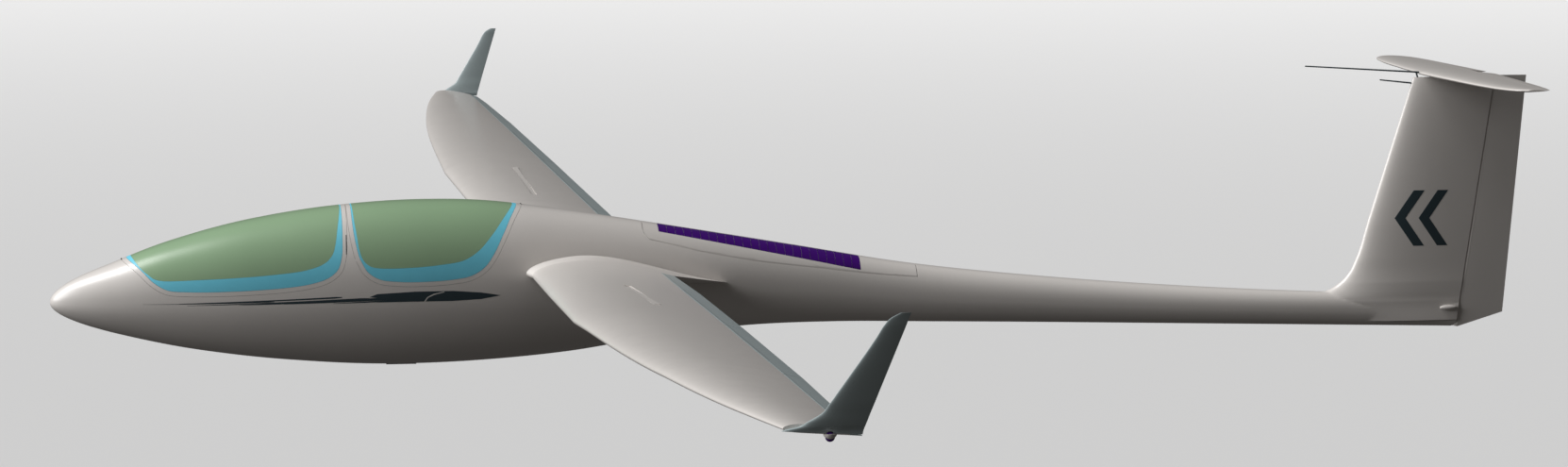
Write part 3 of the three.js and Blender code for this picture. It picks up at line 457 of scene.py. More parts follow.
def skin_z(x, y, proud=0.0):
    """The height of the fuselage's upper side."""
    crown, keel = outline(CROWN, x), outline(KEEL, x)
    waist = mix(keel, crown, WAIST)
    part = np.clip(np.abs(y) / (outline(BREADTH, x) + proud), 0, 1)
    return waist + (crown - waist + proud) * (1 - part**SECTION_POWER) ** (1 / SECTION_POWER)


def inset_outline(points, distance):
    """A closed outline moved inwards (outwards when negative)."""
    points = np.asarray(points, float)
    after = np.roll(points, -1, axis=0)
    before = np.roll(points, 1, axis=0)
    area = np.sum(points[:, 0] * after[:, 1] - after[:, 0] * points[:, 1])
    first = points - before
    second = after - points
    first /= np.linalg.norm(first, axis=1)[:, None]
    second /= np.linalg.norm(second, axis=1)[:, None]
    normal = np.stack([-first[:, 1] - second[:, 1], first[:, 0] + second[:, 0]], axis=1)
    normal /= np.linalg.norm(normal, axis=1)[:, None]
    stretch = np.maximum(-normal[:, 0] * first[:, 1] + normal[:, 1] * first[:, 0], 0.5)
    return points + normal * (np.sign(area) * distance / stretch)[:, None]


OUTER_HULL = hull()
INNER_HULL = hull(SKIN, 8, 2080, 160, 96)


def shell_between(outer, inner):
    """The layer of the fuselage between two depths under its surface."""
    return cut(hull(outer) if outer else OUTER_HULL, hull(inner, 8, 2150))


# ---- Canopies ----
FRONT_HINGE = (106.5, float(outline(CROWN, 106.5)))
REAR_HINGE = (705, float(outline(CROWN, 705)))
ARCH_X = 440.4
CANOPY_FRAME = 6.5  # width of the white frame along each seam
FRAME_THICKNESS = 3
GLASS_THICKNESS = 1.5
GLAZING_GAP = 0.35  # between the white frame and the blue rim
PANE_GAP = 0.15  # between the blue rim and the green pane
ABOVE = 190  # any height over the crown


def front_seam():
    seam = spline([
        FRONT_HINGE, (128, 47.5), (150, 27), (172, 15.5), (204, 13), (273, 14), (343, 18.5), (386, 24.5),
        (414, 34), (430, 48), (437, 68), (439, 100), (439.6, 142),
    ], 120)
    return np.concatenate([seam, [(439.6, ABOVE), (FRONT_HINGE[0], ABOVE)]])


def rear_seam():
    radius = REAR_HINGE[0] - ARCH_X
    arc = [
        (REAR_HINGE[0] - radius * cos(turn), REAR_HINGE[1] - radius * sin(turn))
        for turn in np.radians(np.linspace(0, 16, 20))
    ]
    sweep = spline([
        arc[-1], (464, 43), (484, 30.5), (516, 26), (552, 25.5), (595, 28), (625, 33.5), (647, 46.5),
        (661, 64), (678, 95), (692, 121), REAR_HINGE,
    ], 110)
    return np.concatenate([arc[:-1], sweep, [(REAR_HINGE[0], ABOVE), (arc[0][0], ABOVE)]])


# The green pane inside the blue rim of each canopy.
PANES = {
    "front": [
        (118, 72), (138, 50), (146, 44), (154, 38.5), (166, 36), (184, 36), (225, 38), (265, 40), (329, 45),
        (380, 52), (406, 62), (417, 74), (421.5, 88), (426, 114), (431, 139), (431.5, ABOVE), (118, ABOVE),
    ],
    "rear": [
        (449, 143), (451, 120), (453.5, 103), (457, 80), (461, 68), (467, 60), (476, 55), (491, 53),
        (534, 53.5), (577, 57), (612, 63), (634, 76), (655, 98), (676, 124), (691, 140),
        (691, ABOVE), (449, ABOVE),
    ],
}


def canopies():
    glass_shell = shell_between(0, GLASS_THICKNESS)
    frame_shell = shell_between(0, FRAME_THICKNESS)
    for word, seam in (("front", front_seam()), ("rear", rear_seam())):
        body = f"{word}_canopy"
        edge = PANES[word]
        pane_line = np.concatenate([spline(edge[:-2], 120), edge[-2:]])
        whole = prism(inset_outline(seam, GAP / 2), -BESIDE, BESIDE)
        inside = prism(inset_outline(seam, CANOPY_FRAME), -BESIDE - 1, BESIDE + 1)
        glazed = prism(inset_outline(seam, CANOPY_FRAME + GLAZING_GAP), -BESIDE - 1, BESIDE + 1)
        pane = prism(pane_line, -BESIDE, BESIDE)
        around = prism(inset_outline(pane_line, -PANE_GAP), -BESIDE - 2, BESIDE + 2)
        outer = cut(meet(frame_shell, whole), inside)
        place(f"{word}_frame", outer, GELCOAT, [f"{word}_canopy_frame"], body=body)
        rim = cut(meet(glass_shell, glazed), around)
        place(f"{word}_rim", rim, RIM_BLUE, [f"{word}_canopy_rim"], body=body)
        glass = meet(glass_shell, pane, glazed)
        place(f"{word}_pane", glass, CANOPY, [f"{word}_canopy_glass"], body=body)


# ---- Wings ----
def thickness_shape(part):
    return 5 * (
        0.2969 * np.sqrt(part) - 0.126 * part - 0.3516 * part**2 + 0.2843 * part**3 - 0.1015 * part**4
    )


def camber_shape(part, crest=0.4):
    ahead = (2 * crest * part - part**2) / crest**2
    behind = (1 - 2 * crest + 2 * crest * part - part**2) / (1 - crest) ** 2
    return np.where(part < crest, ahead, behind)


def section_loop(thickness, camber, count=40):
    """Points round a section from its trailing edge over the top: fraction of chord, height / chord."""
    down = (1 + np.cos(pi * np.arange(count) / count)) / 2
    up = (1 - np.cos(pi * np.arange(count + 1) / count)) / 2
    part = np.concatenate([down, up])
    side = np.concatenate([np.ones(count), -np.ones(count + 1)])
    return part, camber * camber_shape(part) + side * thickness * thickness_shape(part)


def wing_thickness(span):
    return mix(0.145, 0.115, span / WING_TIP)


def wing_knot(span):
    """Leading edge, hinge line, trailing edge, height and droop at a span station."""
    spans = WING_KNOTS[:, 0]
    lead, hinge, trail, height, droop = (np.interp(span, spans, WING_KNOTS[:, i]) for i in range(1, 6))
    if span > spans[STRAIGHT_ROOT]:
        lead = hermite(spans[STRAIGHT_ROOT:], WING_KNOTS[STRAIGHT_ROOT:, 1], span)
    return lead, hinge, trail, height, droop


def droop_at(part):
    """The root fillet's droop grows from nothing at a quarter of the chord."""
    t = np.clip((part - 0.25) / 0.7, 0, 1)
    return t * t * (3 - 2 * t)


def trail_drop(span):
    return 0.4 + 0.0035 * span


def wing_ring(span, side):
    lead, _, trail, height, droop = wing_knot(span)
    chord = trail - lead
    full = min(chord, ROOT_CHORD) / chord
    part, up = section_loop(wing_thickness(span) * full, WING_CAMBER * full)
    z = height - part * trail_drop(span) - droop * droop_at(part) + up * chord
    return points_at(lead + part * chord, side * span, z)


def wing_surface(x, span):
    """The height of the wing's upper skin at a place in plan, outside the root fillet."""
    lead, _, trail, height, _ = wing_knot(span)
    chord = trail - lead
    part = np.clip((x - lead) / chord, 0, 1)
    half = wing_thickness(span) * thickness_shape(part)
    return height - part * trail_drop(span) + (WING_CAMBER * camber_shape(part) + half) * chord


def straight_knot(span):
    """The same without the droop, its leading edge in straight lines between the knots."""
    spans = WING_KNOTS[:, 0]
    return [np.interp(span, spans, WING_KNOTS[:, i]) for i in (1, 2, 3, 4)]


def wing_hinge(span):
    """The hinge line's point at a span station, and the radius of the control surface's nose."""
    lead, hinge, trail, height = straight_knot(span)
    chord = trail - lead
    part = (hinge - lead) / chord
    middle = height - part * trail_drop(span) + WING_CAMBER * camber_shape(part) * chord
    return np.array([hinge, span, float(middle)]), wing_thickness(span) * thickness_shape(part) * chord * 1.03


def behind_hinge(start, end, side):
    first, last = wing_hinge(start)[0], wing_hinge(end)[0]
    corners = [
        (first[0], side * start), (first[0] + 140, side * start), (last[0] + 140, side * end),
        (last[0], side * end),
    ]
    return prism(corners, 0, 200, "plan")


def nose_rod(start, end, side, extra):
    (first, near), (last, far) = wing_hinge(start), wing_hinge(end)
    flip = np.array([1, side, 1])
    return rod(first * flip, last * flip, near + extra, far + extra, sides=48)


def wing_form(side):
    knots = WING_KNOTS[:, 0]
    spans = np.unique(np.concatenate([np.linspace(46, 98, 14), np.linspace(98, WING_TIP, 130), knots]))
    return loft([wing_ring(span, side) for span in spans])


def airbrake_box(side, half_width, low, high, trim):
    """A box about the airbrake's own middle, with its top surface at zero."""
    middle = (AIRBRAKE["from"] + AIRBRAKE["to"]) / 2
    half = (AIRBRAKE["to"] - AIRBRAKE["from"]) / 2
    rise = straight_knot(AIRBRAKE["to"])[3] - straight_knot(AIRBRAKE["from"])[3]
    top = float(wing_surface(AIRBRAKE["x"], middle))
    made = block((-half_width, trim - half, low), (half_width, half - trim, high))
    made.transform(
        Matrix.Translation((AIRBRAKE["x"], side * middle, top))
        @ Matrix.Rotation(side * atan(rise / (2 * half)), 4, "X")
    )
    return made


def wings(fuselage_form):
    """Panels, control surfaces and tip strips; the fuselage's form is cut from each panel's root."""
    for word, side in SIDES.items():
        form = wing_form(side)
        panel = cut(form, fuselage_form)
        for name, (start, end) in SURFACES.items():
            panel = cut(panel, behind_hinge(start - 1, end + 1, side))
            panel = cut(panel, nose_rod(start - 1, end + 1, side, 0.5))
            blade = meet(form, behind_hinge(start, end, side))
            span_zone = side_block(side, (0, start, -200), (1200, end, 300))
            surface = meet(join(blade, nose_rod(start, end, side, 0)), span_zone)
            node = f"{name}_{word}"
            place(f"{name}_skin_{word}", surface, GREY_BLUE, [node], body=node)
        panel = cut(panel, behind_hinge(STRIP_START, WING_TIP + 1, side))
        strip = meet(form, behind_hinge(STRIP_START, WING_TIP + 1, side))
        place(f"tip_strip_{word}", strip, GREY_BLUE)
        cap_room = airbrake_box(side, 4.7, -2.4, 6, 0)
        blade_room = airbrake_box(side, 1.7, -AIRBRAKE["depth"] - 0.6, -2, 2.5)
        slot = join(cap_room, blade_room)
        place(f"wing_panel_{word}", cut(panel, slot), GELCOAT, [f"wing_{word}"])


# ---- Winglets and tip wheels ----
# Height, leading edge, trailing edge, distance from the centre line, thickness.
WINGLET_SECTIONS = np.array([
    (122, 756, 837, 2450.5, 5), (132, 756, 839, 2452, 6.5), (135, 769, 840, 2453.5, 6.5),
    (141, 780, 842, 2456, 6), (149, 793, 844.5, 2459, 5), (161, 802, 848.5, 2464, 4.2),
    (172, 809, 852.1, 2468, 4), (190, 820.4, 858.1, 2474.7, 3.6), (232, 846.3, 872, 2490.1, 2.7),
    (244, 853, 876, 2494.5, 2.4), (252, 860, 878.5, 2497, 1.8), (257, 869.5, 880.3, 2499, 1),
])
TIP_WHEEL = {"x": 803.5, "y": 2452.5, "z": 124, "radius": 5.2, "width": 3.4}
# Everything of the winglet below this sloping line is cut off, to sit on the wing tip's underside.
TIP_UNDERSIDE = [(740, 131.4), (850, 125.1), (850, 110), (740, 110)]
FAIRING = {"z": 128.8, "radius": 7.5, "foot": 127.3}
JOINT_SPAN = 2447.8  # where the winglet starts


def ball(centre, radius, stretch=(1, 1, 1), rings=24, sides=48):
    """A round body with its own scale along each axis."""
    polar = np.linspace(0.02, pi - 0.02, rings)
    angle = full_turn(sides)
    x, y, z = np.multiply(radius, stretch)
    return loft([
        np.add(centre, points_at(x * sin(p) * np.cos(angle), y * sin(p) * np.sin(angle), z * cos(p)))
        for p in polar
    ])


def winglets():
    heights = np.concatenate([np.linspace(122, 165, 44), np.linspace(168, 257, 40)])
    lead, trail, out, thick = (
        hermite(WINGLET_SECTIONS[:, 0], WINGLET_SECTIONS[:, i], heights) for i in (1, 2, 3, 4)
    )
    x, y, z, radius, width = TIP_WHEEL.values()
    for word, side in SIDES.items():
        rings = []
        for i, height in enumerate(heights):
            chord = trail[i] - lead[i]
            part, up = section_loop(thick[i] / chord, 0, 20)
            rings.append(points_at(lead[i] + part * chord, side * (out[i] + up * chord), height))
        near, far = sorted((side * 2400, side * 2520))
        foot = prism(TIP_UNDERSIDE, near, far)
        reach = width / 2 + 0.6
        well = rod((x, side * y - reach, z), (x, side * y + reach, z), radius + 0.8)
        fin = cut(loft(rings), side_block(side, (600, 2300, 60), (1000, JOINT_SPAN, 320)), foot, well)
        place(f"winglet_skin_{word}", fin, SLATE, [f"winglet_{word}"])

        dome = ball((x, side * y, FAIRING["z"]), FAIRING["radius"], (1, 0.85, 1))
        slot = block(
            (x - radius - 0.6, side * y - width / 2 - 0.4, z - 20),
            (x + radius + 0.6, side * y + width / 2 + 0.4, z + radius + 0.6),
        )
        above = block((x - 20, side * y - 20, FAIRING["foot"]), (x + 20, side * y + 20, z + 20))
        wing_side = side_block(side, (x - 20, 2300, 60), (x + 20, JOINT_SPAN, 160))
        axle = rod((x, side * y - 4.5, z), (x, side * y + 4.5, z), 0.9)
        dome = cut(join(cut(dome, slot, above), axle), wing_side)
        place(f"tip_fairing_{word}", dome, GELCOAT, [f"tip_wheel_fairing_{word}"])
        half = width / 2
        tread = [(1, -half), (radius - 1.2, -half), (radius - 0.3, -half * 0.7), (radius, 0),
                 (radius - 0.3, half * 0.7), (radius - 1.2, half), (1, half)]
        tyre = lathe(tread, (x, side * y, z), sides=64)
        place(f"tip_tyre_{word}", tyre, PURPLE, [f"tip_wheel_{word}"], body=f"tip_wheel_{word}")


# ---- Tail ----
def on_line(line, height):
    (foot_x, foot_z), (top_x, top_z) = line
    return mix(foot_x, top_x, (height - foot_z) / (top_z - foot_z))


def fin_lead(height):
    heights, leads = zip(*FIN_LEAD)
    return float(hermite(heights, leads, height))


def tail_thickness(height):
    chord = on_line(RUDDER_TRAIL, height) - fin_lead(max(height, 0))
    flare = 1 + 0.28 * ((30 - max(height, -30)) / 60) ** 2 if height < 30 else 1
    return 0.1 * chord * flare


def fin_ring(height):
    """The fin and rudder's section at a height."""
    lead = fin_lead(height)
    chord = on_line(RUDDER_TRAIL, height) - lead
    part, up = section_loop(tail_thickness(height) / chord, 0)
    return points_at(lead + part * chord, up * chord, height)


def rudder_nose(height):
    foot = RUDDER_HINGE[0][1]
    return mix(*RUDDER_NOSE, (height - foot) / (RUDDER_TOP - foot))


def rudder_rod(extra, low=-71, high=316):
    ends = [(on_line(RUDDER_HINGE, height), 0, height) for height in (low, high)]
    return rod(*ends, rudder_nose(low) + extra, rudder_nose(high) + extra, sides=48)


def behind_rudder_hinge(low, high, ahead=0):
    foot, top = (on_line(RUDDER_HINGE, low) - ahead, low), (on_line(RUDDER_HINGE, high) - ahead, high)
    return prism([foot, (foot[0] + 200, low), (top[0] + 200, high), top], -60, 60)


def fin():
    heights = np.concatenate([np.linspace(-60, 60, 60), np.linspace(63, RUDDER_TOP, 60)])
    form = loft([fin_ring(height) for height in heights])
    return cut(form, block((1800, -60, FIN_TOP), (2300, 60, 400)))


def rudder():
    rings = []
    part = np.linspace(0, 1, 24)
    for height in np.linspace(-71, RUDDER_TOP, 60):
        nose = on_line(RUDDER_HINGE, height)
        chord = on_line(RUDDER_TRAIL, height) - nose
        half = mix(rudder_nose(height), 0.6, part) * (1 + 0.16 * part * (1 - part))
        x = np.concatenate([nose + chord * part, nose + chord * part[::-1]])
        y = np.concatenate([half, -half[::-1]])
        rings.append(points_at(x, y, height))
    slant = prism([(2100, -110), (2100, -71.2), (2160.7, -71.2), (2300, -31), (2300, -110)], -60, 60)
    over_top = block((2000, -60, 315.8), (2216.5, 60, 400))
    return cut(join(loft(rings), rudder_rod(0, -71, RUDDER_TOP)), slant, over_top)


def stabilizer_knot(span):
    spans = STABILIZER_KNOTS[:, 0]
    lead = hermite(spans, STABILIZER_KNOTS[:, 1], span)
    return float(lead), float(np.interp(span, spans, STABILIZER_KNOTS[:, 2]))


def elevator_nose(grow):
    stops = [0, 150, 300, 350, ELEVATOR_SPAN]
    whole = None
    for first, last in zip(stops, stops[1:]):
        for side in (-1, 1):
            reach = last + (grow if last == ELEVATOR_SPAN else 0)
            ends = [(ELEVATOR_HINGE, side * y, TAIL_HEIGHT) for y in (first - 0.1, reach)]
            radii = []
            for span in (first, last):
                lead, trail = stabilizer_knot(span)
                chord = trail - lead
                half = TAIL_THICKNESS * thickness_shape((ELEVATOR_HINGE - lead) / chord) * chord
                radii.append(half * 1.02 + grow)
            piece = rod(*ends, *radii, sides=40)
            whole = piece if whole is None else join(whole, piece)
    return whole


def tail_plane():
    spans = np.concatenate([np.linspace(0, 340, 50), np.linspace(344, 399, 30), [400]])
    spans = np.concatenate([-spans[::-1], spans[1:]])
    rings = []
    for span in spans:
        lead, trail = stabilizer_knot(abs(span))
        chord = trail - lead
        part, up = section_loop(TAIL_THICKNESS, 0, 28)
        rings.append(points_at(lead + part * chord, span, TAIL_HEIGHT + up * chord))
    form = loft(rings)
    reach = ELEVATOR_SPAN + 0.8
    fixed = cut(form, block((ELEVATOR_HINGE, -reach, 300), (2300, reach, 345)), elevator_nose(0.5))
    place("stabilizer_skin", fixed, GELCOAT, ["horizontal_stabilizer"])
    moving = meet(form, block((ELEVATOR_HINGE, -ELEVATOR_SPAN, 300), (2300, ELEVATOR_SPAN, 345)))
    moving = cut(moving, block((ELEVATOR_HINGE + 4, -24, 300), (2300, 24, 345)))
    place("elevator_skin", join(moving, elevator_nose(0)), GELCOAT, ["elevator"], body="elevator")


def tail():
    place("rudder_skin", rudder(), GELCOAT, ["rudder"], body="rudder")
    tail_plane()
    tek = join(
        rod((1917, 0, 335), (2096, 0, 324.2), 1, 1.3, round_ends=True),
        rod((2092, 0, 324.4), (2098, 0, 306), 1.3),
    )
    place("energy_tube", tek, DECAL, ["energy_probe"])
    pitot = rod((2035.5, 0, 312.8), (2094, 0, 306.5), 1, 1.3, round_ends=True)
    place("pitot_tube", pitot, DECAL, ["pitot_probe"])
    blister = ball((2145.5, -11, -41), 14, (1, 0.36, 0.3))
    place("horn_blister", blister, GELCOAT, ["rudder_horn_fairing"])


# ---- Fuselage ----
def engine_opening(grow):
    edge = [*ENGINE_DOOR_EDGE, *[(x, -y) for x, y in ENGINE_DOOR_EDGE[::-1][1:-1]]]
    return inset_outline(edge, -grow)


def well_zone(grow):
    reach = WELL["half"] + grow
    return block((WELL["front"] - grow, -reach, WELL["low"]), (WELL["rear"] + grow, reach, WELL["high"]))


def fuselage():
    body = join(cut(OUTER_HULL, INNER_HULL), cut(fin(), INNER_HULL))
    body = cut(body, behind_rudder_hinge(-120, 400, RUDDER_REVEAL), rudder_rod(1, -90, 330))
    for seam in (front_seam(), rear_seam()):
        body = cut(body, prism(inset_outline(seam, -GAP / 2), -BESIDE, BESIDE))
    body = cut(body, well_zone(GAP), prism(engine_opening(DOOR_GAP), BAY_FOOT, ABOVE, "plan"))
    halves = ["fuselage_left_shell", "fuselage_right_shell"]
    place("fuselage_skin", body, GELCOAT, halves)


# ---- Decals ----
# Brush strokes of the side decal in the side view: left tip, right end, greatest thickness.
STROKES = [
    ((137, 1.2), (330, 5.2), 1.3), ((190, 2.4), (430, 11), 2.6), ((202, -0.4), (470, 8.6), 2.8),
    ((278, 0.2), (520, 10), 3.2), ((343, 1.4), (560, 10.5), 3.4), ((417, 1.8), (580, 9), 3.8),
]
STROKE_END = [
    (470, 10.5), (482, 15.2), (538, 18), (595, 18.2), (637, 15), (667, 10), (637, 5), (594, 3), (538, 3),
    (480, 2.6), (520, 6.5),
]
# A thin light arc cut through the swoosh, and the latch mark between the canopies.
STROKE_ARC = [(552, 1), (558, 8.5), (568, 13), (582, 16.2), (582, 17.5), (566, 14.5), (556, 9.5), (550.4, 1)]
LATCH = [(436.8, 74), (437.9, 74), (438.4, 102), (437.3, 102)]
FILM_PROUD = 0.12
FILM_DEPTH = 0.3
CHEVRONS = {"tips": (2058, 2096), "low": 56, "middle": 99, "high": 142, "stroke": 17, "lean": 30}


def stroke(tip, end, thickness):
    """A leaf in the side view: a sharp left tip that swells towards the right end."""
    part = np.linspace(0, 1, 24)
    middle = np.array([mix(np.array(tip), np.array(end), t) for t in part])
    half = thickness / 2 * np.maximum(part, 0.02) ** 0.6
    half[-1] = half[-2] / 2
    sag = -2.4 * part * (1 - part)
    upper = np.stack([middle[:, 0], middle[:, 1] + sag + half], axis=1)
    lower = np.stack([middle[:, 0], middle[:, 1] + sag - half], axis=1)
    return np.concatenate([upper, lower[::-1]])


def side_decals():
    film = shell_between(-FILM_PROUD, FILM_DEPTH)
    for word, side in SIDES.items():
        near, far = sorted((side * 20, side * BESIDE))
        swoosh = prism(STROKE_END, near, far)
        for tip, end, thickness in STROKES:
            swoosh = join(swoosh, prism(stroke(tip, end, thickness), near, far))
        swoosh = cut(swoosh, prism(STROKE_ARC, near - 1, far + 1))
        place(f"side_decal_{word}", meet(film, swoosh), DECAL)
        place(f"canopy_latch_{word}", meet(film, prism(LATCH, near, far)), DECAL, body="front_canopy")


def fin_chevrons():
    """A plain mark on each side of the fin: two bold chevrons."""

    def stretched(width):
        made = fin()
        made.transform(Matrix.Diagonal((1, width, 1, 1)))
        return made

    film = cut(stretched(1.016), stretched(0.96))
    tips, low, middle, high, width, lean = CHEVRONS.values()
    for word, side in SIDES.items():
        near, far = sorted((side * 0.5, side * 40))
        marks = [
            prism([
                (x + lean, high), (x, middle), (x + lean, low), (x + lean + width, low), (x + width, middle),
                (x + lean + width, high),
            ], near, far)
            for x in tips
        ]
        place(f"fin_chevrons_{word}", meet(film, join(*marks)), DECAL)


# ---- Doors and solar cells ----
def gear_doors(shell):
    """Each door is its own part of the fuselage's skin."""
    for word, side in SIDES.items():
        low, high = (WELL["front"], GAP / 2, WELL["low"]), (WELL["rear"], WELL["half"], WELL["high"])
        node = f"gear_door_{word}"
        place(f"{node}_skin", meet(shell, side_block(side, low, high)), GELCOAT, [node], body=node)


def solar_cells(side):
    """A row of cells let into the door, with a thin gap between neighbours."""
    start, end, inner, outer, thick, cells = SOLAR.values()
    edges = np.linspace(start, end, cells + 1)
    made = []
    for first, last in zip(edges, edges[1:]):
        ends = (first + CELL_GAP / 2, last - CELL_GAP / 2)
        rings = []
        for y in np.linspace(inner, outer, 16):
            top = [(x, side * y, skin_z(x, y, CELL_PROUD)) for x in ends]
            bottom = [(x, side * y, skin_z(x, y, -thick)) for x in ends[::-1]]
            rings.append(top + bottom)
        made.append(loft(rings))
    return gather(made)


def engine_doors(shell):
    whole = prism(engine_opening(0), 0, ABOVE, "plan")
    for word, side in SIDES.items():
        half = side_block(side, (800, GAP / 2, 0), (1400, 90, 180))
        start, end, inner, outer, thick, _ = SOLAR.values()
        recess = side_block(side, (start - 0.3, inner - 0.3, 0), (end + 0.3, outer + 0.3, 180))
        bed = cut(recess, hull(thick + 0.2, 8, 2150, 200, 96))
        door = cut(meet(shell, whole, half), bed)
        body = f"engine_door_{word}"
        place(f"{body}_skin", door, GELCOAT, [body], body=body)
        place(f"solar_cells_{word}", solar_cells(side), PURPLE, [f"solar_strip_{word}"], body=body)


# ---- Landing gear ----
def main_wheel():
    half = WHEEL_WIDTH / 2
    crown = WHEEL_RADIUS - 0.1
    near_side = [(27, -0.75), (32, -1), (38, -0.94), (42.3, -0.6), (crown, -0.2)]
    far_side = [(radius, -part) for radius, part in near_side[::-1]]
    curve = spline([(radius, half * part) for radius, part in near_side + far_side], 40)
    profile = []
    for radius, y in curve:
        groove = 0.9 if radius > 42 and min(abs(abs(y) - 3.2), abs(abs(y) - 6.6)) < 0.55 else 0
        profile.append((radius - groove, y))
    tyre = lathe(profile, (AXLE[0], 0, AXLE[1]))
    place("tyre_rubber", tyre, RUBBER, ["main_tyre"], body="main_wheel")
    hub = lathe([
        (3.05, -11), (9, -11), (9, -6), (22, -6), (22, -9.5), (26.7, -9.5), (26.7, 9.5), (22, 9.5), (22, 6),
        (9, 6), (9, 11), (3.05, 11),
    ], (AXLE[0], 0, AXLE[1]))
    for i in range(6):
        turn = radians(60 * i)
        x, z = AXLE[0] + 15.5 * cos(turn), AXLE[1] + 15.5 * sin(turn)
        hub = cut(hub, rod((x, -20, z), (x, 20, z), 4.2))
    place("hub_alloy", hub, METAL, ["main_hub"], body="main_wheel", bevel=0.35)


# ---- Cockpits ----
# Side profile of the seat; x, foot, top, half width and half depth of the instrument pod; y, z and
# radius of each dial; x, foot and top of the control stick.
COCKPITS = {
    "front": {
        "seat": [(256, -44), (290, -54), (335, -57), (366, -49), (388, -18), (405, 20), (417, 56)],
        "pod": (232, -59, 20, 26, 8),
        "dials": [(-12, 4, 8.5), (12, 4, 8.5), (-10, -17, 6), (10, -17, 6), (0, 15, 3)],
        "stick": (288, -60, -10),
    },
    "rear": {
        "seat": [(498, -24), (525, -33), (560, -35.5), (588, -28), (606, 0), (618, 28), (626, 52)],
        "pod": (471, -37, 34, 24, 7),
        "dials": [(-11, 18, 8), (11, 18, 8), (-10, -2, 6), (10, -2, 6)],
        "stick": (520, -38, 6),
    },
}


def seat_shell(profile, half_width=36, thick=2.2, bolster=8):
    """A moulded bucket: the side profile carried across, its edges raised into bolsters."""
    line = spline(profile, 60)
    along = np.gradient(line, axis=0)
    along /= np.linalg.norm(along, axis=1)[:, None]
    facing = np.stack([-along[:, 1], along[:, 0]], axis=1)
    across = np.linspace(-1, 1, 25)
    rings = []
    for i, t in enumerate(np.linspace(0, 1, len(line))):
        width = half_width * (1 - 0.3 * abs(2 * t - 1) ** 4)
        lift = bolster * sin(pi * t) ** 0.5 * across**4
        top = line[i] + facing[i] * lift[:, None]
        bottom = top - facing[i] * thick
        upper = points_at(top[:, 0], across * width, top[:, 1])
        lower = points_at(bottom[:, 0], across * width, bottom[:, 1])
        rings.append(np.concatenate([upper, lower[::-1]]))
    return loft(rings)


def instrument_pod(x, low, high, half_width, half_depth):
    """A soft-edged column that widens towards the dials."""
    rings = []
    angle = full_turn(64)
    for t in np.linspace(0, 1, 40):
        grow = (0.5 + 0.5 * min(t * 1.8, 1)) * max(1 - abs(2 * t - 1) ** 12, 0.02) ** 0.5
        rings.append(points_at(
            x + half_depth * min(grow * 1.3, 1) * signed_power(np.cos(angle), 0.45),
            half_width * grow * signed_power(np.sin(angle), 0.45), mix(low, high, t),
        ))
    return loft(rings)


def cockpit_interiors():
    for word, parts in COCKPITS.items():
        place(f"{word}_seat", seat_shell(parts["seat"]), SEAT_GREY, sharp=50)
        pod_x, *_, half_depth = parts["pod"]
        place(f"{word}_instrument_pod", instrument_pod(*parts["pod"]), PLASTIC, sharp=50)
        face_x = pod_x + half_depth
        bezels, faces, hands = [], [], []
        for i, (y, z, radius) in enumerate(parts["dials"]):
            rim = [(radius - 1, -2), (radius, -2), (radius, 0.9), (radius - 1, 0.9)]
            bezels.append(lathe(rim, (face_x, y, z), "x", 40))
            faces.append(rod((face_x - 2, y, z), (face_x + 0.3, y, z), radius - 1.1, sides=40))
            turn = radians(50 + 70 * i)
            reach = radius - 2
            tip = (face_x + 0.5, y + reach * cos(turn), z + reach * sin(turn))
            hands.append(rod((face_x + 0.5, y, z), tip, 0.45, 0.2, sides=10))
        place(f"{word}_dial_rims", gather(bezels), METAL)
        place(f"{word}_dial_faces", gather(faces), DIAL)
        place(f"{word}_dial_hands", gather(hands), RUBBER)
        x, low, high = parts["stick"]
        shaft = rod((x, 0, low), (x - 5, 0, high), 1.5)
        grip = rod((x - 4, 0, high - 14), (x - 6, 0, high + 3), 2.8, 3.4, sides=32, round_ends=True)
        folds = [(0.5, -0.5), (9, -0.5), (8, 1.5), (4.5, 4), (2.6, 8), (0.5, 8.5)]
        boot = lathe(folds, (x - 0.3, 0, low), "z", 48)
        place(f"{word}_stick", join(shaft, grip), PLASTIC)
        place(f"{word}_stick_boot", boot, RUBBER)


# ---- Equipment inside the fuselage ----
def servo(low, high):
    """A servo in its bounding box: case, screw lugs, output boss and arm."""
    (x0, y0, z0), (x1, y1, z1) = low, high
    middle, shaft = (y0 + y1) / 2, x0 + 13
    case = block((x0 + 4.5, y0, z0), (x1 - 4.5, y1, z1 - 3.5))
    lugs = block((x0, y0 + 1, z1 - 8), (x1, y1 - 1, z1 - 6))
    for x in (x0 + 2.2, x1 - 2.2):
        for y in (middle - 4.5, middle + 4.5):
            lugs = cut(lugs, rod((x, y, z1 - 10), (x, y, z1), 1.1, sides=20))
    boss = rod((shaft, middle, z1 - 4), (shaft, middle, z1 - 1.3), 4.2)
    arm = block((shaft - 2, y0 + 1.2, z1 - 1.6), (shaft + 2, y1 - 1.2, z1))
    return join(case, lugs, boss, arm)


def battery_pack():
    pack = block((60, -15.4, -29.4), (113, 15.4, 1.4))
    for x in (72, 98):
        pack = join(pack, block((x, -16, -30), (x + 6, 16, 2)))
    return join(pack, block((112, -9, -22), (118, -1, -10)), block((112, 3, -20), (118, 9, -12)))


def receiver():
    case = block((830, -14, -50), (872, 14, -38))
    case = cut(case, block((836, -9, -38.6), (864, 9, -37)))
    for i in range(6):
        y = -12 + 4.3 * i
        case = join(case, block((871, y, -48), (878, y + 2.6, -41)))
    return case


